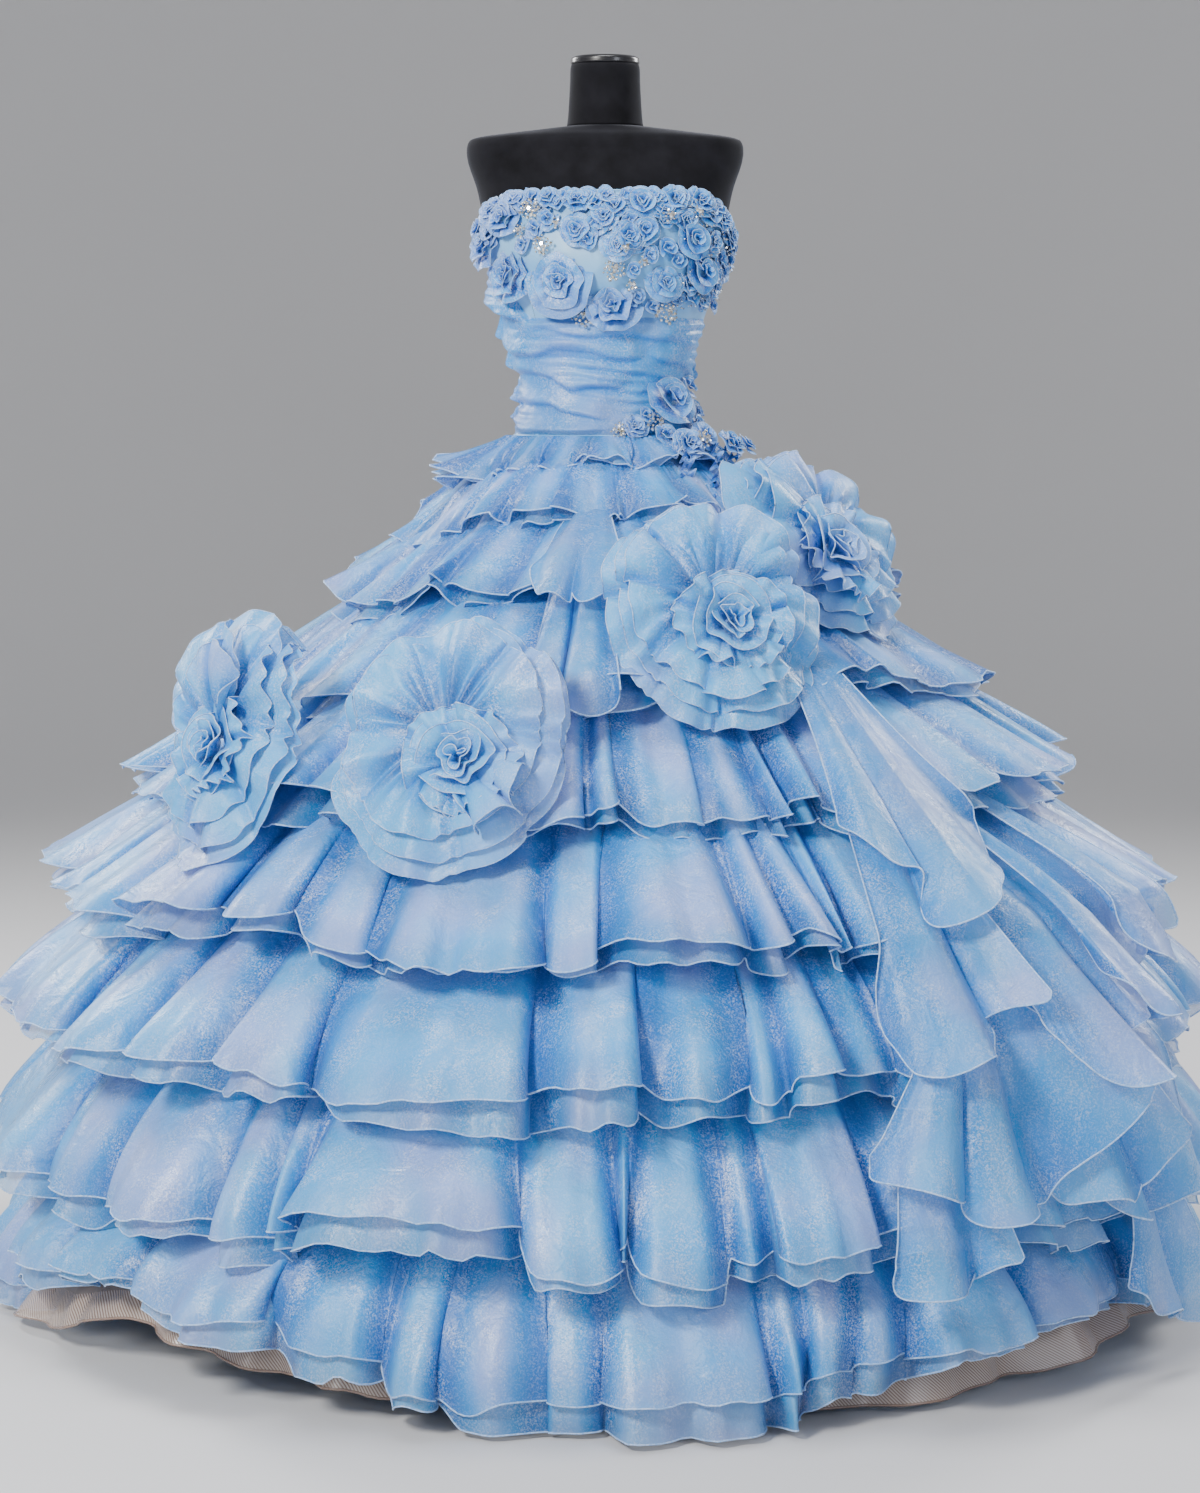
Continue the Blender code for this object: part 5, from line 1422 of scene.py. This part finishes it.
# ---- Jabot and cascade ----------------------------------------------------------------------
# Handkerchief flounces with rolled hems, sewn by their short top edge: a folded jabot at the
# centre front and a cascade that falls from the rosettes down the wearer's left side.
PANELS_DOWN = {
    # for each panel: rows across it of share, top angle, top height, hem angle and hem height; the
    # number of its crests; how far they stand out; and what its top is tucked under. The lowest
    # cascade comes first and each panel lies over the ones before it.
    "cascade_4": (
        (((0, 48.5, 0.290, 48.5, 0.135), (0.5, 51.5, 0.295, 55.5, 0.066),
          (1, 54.5, 0.290, 62.5, 0.056)), 1.5, 0.030, "over"),
        (((0, 25, 0.340, 23.4, 0.190), (0.3, 27.5, 0.345, 26.5, 0.160),
          (0.65, 29, 0.345, 29.6, 0.168), (1, 31.5, 0.340, 34.0, 0.192)), 1.5, 0.030, "over"),
    ),
    "cascade_3": (
        (((0, 43, 0.530, 43.5, 0.300), (0.3, 45, 0.535, 46.8, 0.209),
          (0.7, 48, 0.535, 53.0, 0.224), (1, 51, 0.530, 59.5, 0.248)), 2, 0.040, "over"),
        (((0, 37.5, 0.500, 37.5, 0.292), (0.4, 40, 0.505, 41.5, 0.252),
          (0.7, 42.5, 0.505, 46.8, 0.262), (1, 45, 0.500, 50.0, 0.308)), 1.5, 0.036, "over"),
        (((0, 29.5, 0.500, 22.5, 0.300), (0.2, 30.5, 0.505, 26.0, 0.286),
          (0.42, 32, 0.508, 30.5, 0.255), (0.62, 33, 0.508, 35.5, 0.249),
          (0.82, 34.5, 0.505, 40.5, 0.300), (1, 36, 0.500, 44.5, 0.362)), 2.5, 0.042, "over"),
    ),
    "cascade_2": (
        (((0, 36, 0.735, 37.0, 0.465), (0.4, 39, 0.740, 42.8, 0.398),
          (0.8, 42, 0.740, 47.0, 0.440), (1, 44, 0.735, 50.0, 0.462)), 1.5, 0.038, "under_tier"),
        (((0, 43, 0.735, 45.0, 0.515), (0.4, 46, 0.740, 48.5, 0.450),
          (0.7, 49, 0.740, 52.5, 0.462), (1, 52, 0.735, 57.5, 0.490)), 1.5, 0.036, "under_tier"),
        (((0, 27, 0.715, 24.6, 0.484), (0.2, 28, 0.720, 26.8, 0.420),
          (0.6, 31, 0.720, 31.6, 0.444), (1, 34, 0.715, 36.5, 0.490)), 1.5, 0.040, "over"),
    ),
    "cascade_1": (
        (((0, 29, 0.850, 25.8, 0.690), (0.25, 31, 0.852, 28.5, 0.640),
          (0.5, 33, 0.850, 32.0, 0.574), (0.75, 35, 0.846, 37.5, 0.610),
          (1, 37, 0.840, 44.0, 0.660)), 2, 0.036, "over"),
        (((0, 49, 0.735, 51.0, 0.570), (0.4, 53, 0.740, 56.4, 0.495),
          (1, 58, 0.735, 65.0, 0.522)), 1.5, 0.034, "under_tier"),
    ),
    "jabot": (
        (((0, -9.5, 1.036, -12.0, 0.862), (0.3, -7, 1.040, -9.0, 0.826),
          (0.65, -3, 1.040, -4.0, 0.806), (1, 0, 1.036, 2.0, 0.812)), 2.0, 0.034, "under_peplum"),
        (((0, -12, 1.040, -15.5, 0.984), (0.35, -8, 1.042, -10.5, 0.938),
          (0.7, -3, 1.042, -3.0, 0.930), (1, 1.5, 1.038, 3.5, 0.962)), 1.5, 0.040, "under_peplum"),
    ),
}
PANEL_CUTS = {
    # flat length of the hem, depth, and flat area
    "jabot": (0.6, 0.24, 0.058), "cascade_1": (1.0, 0.22, 0.130), "cascade_2": (1.7, 0.26, 0.215),
    "cascade_3": (1.5, 0.24, 0.200), "cascade_4": (0.9, 0.18, 0.065),
}
PANEL_NODES = {"jabot": "front_jabot"}   # the others are named as their nodes are
PANEL_REST = 0.005                       # a panel lies this far off what it hangs over
CORNER = 0.026                           # radius of a panel's rounded corners


def taut(places, reach):
    """Each column of reach raised to the tightest line over it that never sags inwards."""
    for column in reach.T:
        kept = [0]
        for row in range(1, len(column)):
            while len(kept) > 1:
                first, second = kept[-2:]
                if ((column[row] - column[first]) * (places[second] - places[first])
                        < (column[second] - column[first]) * (places[row] - places[first])):
                    break
                kept.pop()
            kept.append(row)
        column[:] = np.interp(places, places[kept], column[kept])
    return reach


def hanging_panel(table, crests, depth, under, rng, rows=28, columns=84):
    """A handkerchief flounce hung over the skirt, and the painted shade on each point."""
    across = np.linspace(0, 1, columns)[None, :]
    down = np.linspace(0, 1, rows)[:, None]
    a, b = rng.uniform(0, 6.28, 2)
    top_angle, top_height = smooth(table, across, 1), smooth(table, across, 2)
    hem_angle, hem_height = smooth(table, across, 3), smooth(table, across, 4)
    hem_length = math.radians(float(np.ptp(hem_angle))) * 0.7
    corner = min(CORNER, 0.10 * hem_length)
    inside = np.clip(1 - np.minimum(across, 1 - across) * hem_length / corner, 0, 1)
    hem_height = hem_height + corner * (1 - np.sqrt(1 - inside ** 2))
    warped = across + 0.06 * np.sin(2 * np.pi * across + a)
    warped = (warped - warped[:, :1]) / (warped[:, -1:] - warped[:, :1])
    beat = crests * warped
    arch = np.sin(np.pi * beat) ** 2
    grown = down ** 1.2
    angle = top_angle + (hem_angle - top_angle) * down
    span = float(np.ptp(hem_angle)) / crests
    angle = angle - grown * span * 0.16 * np.sin(2 * np.pi * beat)
    border = np.exp(-(across / 0.05) ** 2) + np.exp(-((1 - across) / 0.05) ** 2)
    wave = depth * grown * arch + 0.007 * border * down
    small = 0.0060 * down ** 5 * np.sin(2 * np.pi * across * 3.3 + 2 * np.sin(across * 7 + a))
    dents = 0.0030 * down * np.sin(7 * across + 5 * down + b) * np.sin(11 * across - 3 * down + a)
    height = (top_height + (hem_height - top_height) * down
              - 0.10 * (wave - 0.5 * depth * grown) * down)
    laid = taut(down[:, 0], reach_at(angle + 0 * height, height, under))
    reach = laid + PANEL_REST + wave + small + dents
    grid = on_oval(angle, reach, reach, height + small)
    # painted shade: in the valleys between crests, more towards the hem, and near the tucked top
    shade = np.clip((1 - arch) * grown * 0.8 + 0.45 * (1 - down) ** 2, 0, 1)
    return grid, shade


def cover(grid):
    """Raise every reach grid to lie over a panel that has been hung."""
    tree = BVHTree.FromPolygons([Vector(point) for point in grid.reshape(-1, 3)],
                                grid_faces(*grid.shape[:2], False).tolist())
    own = skirt_reach([tree], blanket=False)
    wide = widened(widened(own), axis=0)
    for reach in reach_grids.values():
        raised = np.maximum(reach, wide)
        soft = (raised + np.roll(raised, 1, 1) + np.roll(raised, -1, 1)) / 3
        reach[:] = np.where(wide > 0, np.maximum(soft, np.maximum(reach, own)), reach)


for number, (name, panels) in enumerate(PANELS_DOWN.items()):
    rng = np.random.default_rng(200 + number)
    sheets, borders = [], []
    for table, crests, depth, under in panels:
        grid, shade = hanging_panel(table, crests, depth, under, rng)
        sheets.append((grid, shade))
        borders.append(np.concatenate([grid[:, 0], grid[-1, 1:], grid[-2::-1, -1]]))
        cover(grid)
    piece = join_sheets(name + "_organza", sheets, organza)
    roll = add_rolls(name + "_hem", borders, HEM_ROLL)
    fasten("organza", piece, roll)
    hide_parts(PANEL_NODES.get(name, name))
    cut = PANEL_CUTS[name]


# ---- Studio ---------------------------------------------------------------------------------
# A plain pale floor and backdrop, two large soft boxes and a rim light from behind each side.
SWEEP = (
    # radius and height of the floor as it turns up
    (0.0, 0.0), (3.0, 0.0), (5.5, 0.0), (6.3, 0.06), (7.0, 0.26), (7.6, 0.62), (8.1, 1.15),
    (8.45, 1.8), (8.6, 2.6), (8.65, 4.0), (8.65, 7.5),
)
SWEEP_COLUMNS = 96
SOFT_BOXES = (
    # name, place, height on the axis it is aimed at, size, power, tint
    ("key_box", (-2.2, -3.6, 2.9), 0.75, (0.9, 0.9), 232, "FFFDF8"),
    ("fill_box", (2.8, -3.4, 1.9), 0.7, (1.2, 1.2), 34, "EEF3FF"),
    ("top_box", (0.0, -0.9, 4.2), 0.8, (1.6, 1.6), 84, "FFFFFF"),
    ("left_rim", (-2.8, 2.2, 2.6), 0.9, (0.8, 1.8), 110, "FFFFFF"),
    ("right_rim", (2.8, 2.2, 2.6), 0.9, (0.8, 1.8), 110, "FFFFFF"),
)

# matt emulsion on a smooth floor: flat and even, with no pattern to draw the eye
floor_paint = new_material("pale_matt_floor_paint",
                           {"Base Color": colour("DADADC"), "Roughness": 0.85})[0]
sweep_angles = np.arange(SWEEP_COLUMNS) * 360 / SWEEP_COLUMNS
sweep_rings = [on_oval(sweep_angles, radius + 0.001, radius + 0.001, height)
               for radius, height in SWEEP[::-1]]
backdrop = add_mesh("studio_sweep", sweep_rings,
                    grid_faces(len(SWEEP), SWEEP_COLUMNS, True)[:, ::-1], [floor_paint])

world = bpy.data.worlds.new("studio_air")
world.use_nodes = True
air = world.node_tree.nodes["Background"].inputs
air["Color"].default_value = colour("E4E6EA")
air["Strength"].default_value = 0.34
bpy.context.scene.world = world

for name, place, aim, size, power, tint in SOFT_BOXES:
    light = bpy.data.lights.new(name, "AREA")
    light.shape = "RECTANGLE"
    light.size, light.size_y = size
    light.energy = power
    light.color = colour(tint)[:3]
    lamp = bpy.data.objects.new(name, light)
    bpy.context.scene.collection.objects.link(lamp)
    lamp.location = place
    lamp.rotation_euler = (Vector((0, 0, aim)) - Vector(place)).to_track_quat("-Z", "Y").to_euler()

camera_data = bpy.data.cameras.new("camera")
camera_data.lens = 83.9
camera_data.sensor_width = 36.0
camera = bpy.data.objects.new("camera", camera_data)
bpy.context.scene.collection.objects.link(camera)
camera.location = (-0.0066, -4.58, 1.17)
camera.rotation_euler = (math.radians(90 - 5.69), 0.0, 0.0)
bpy.context.scene.camera = camera
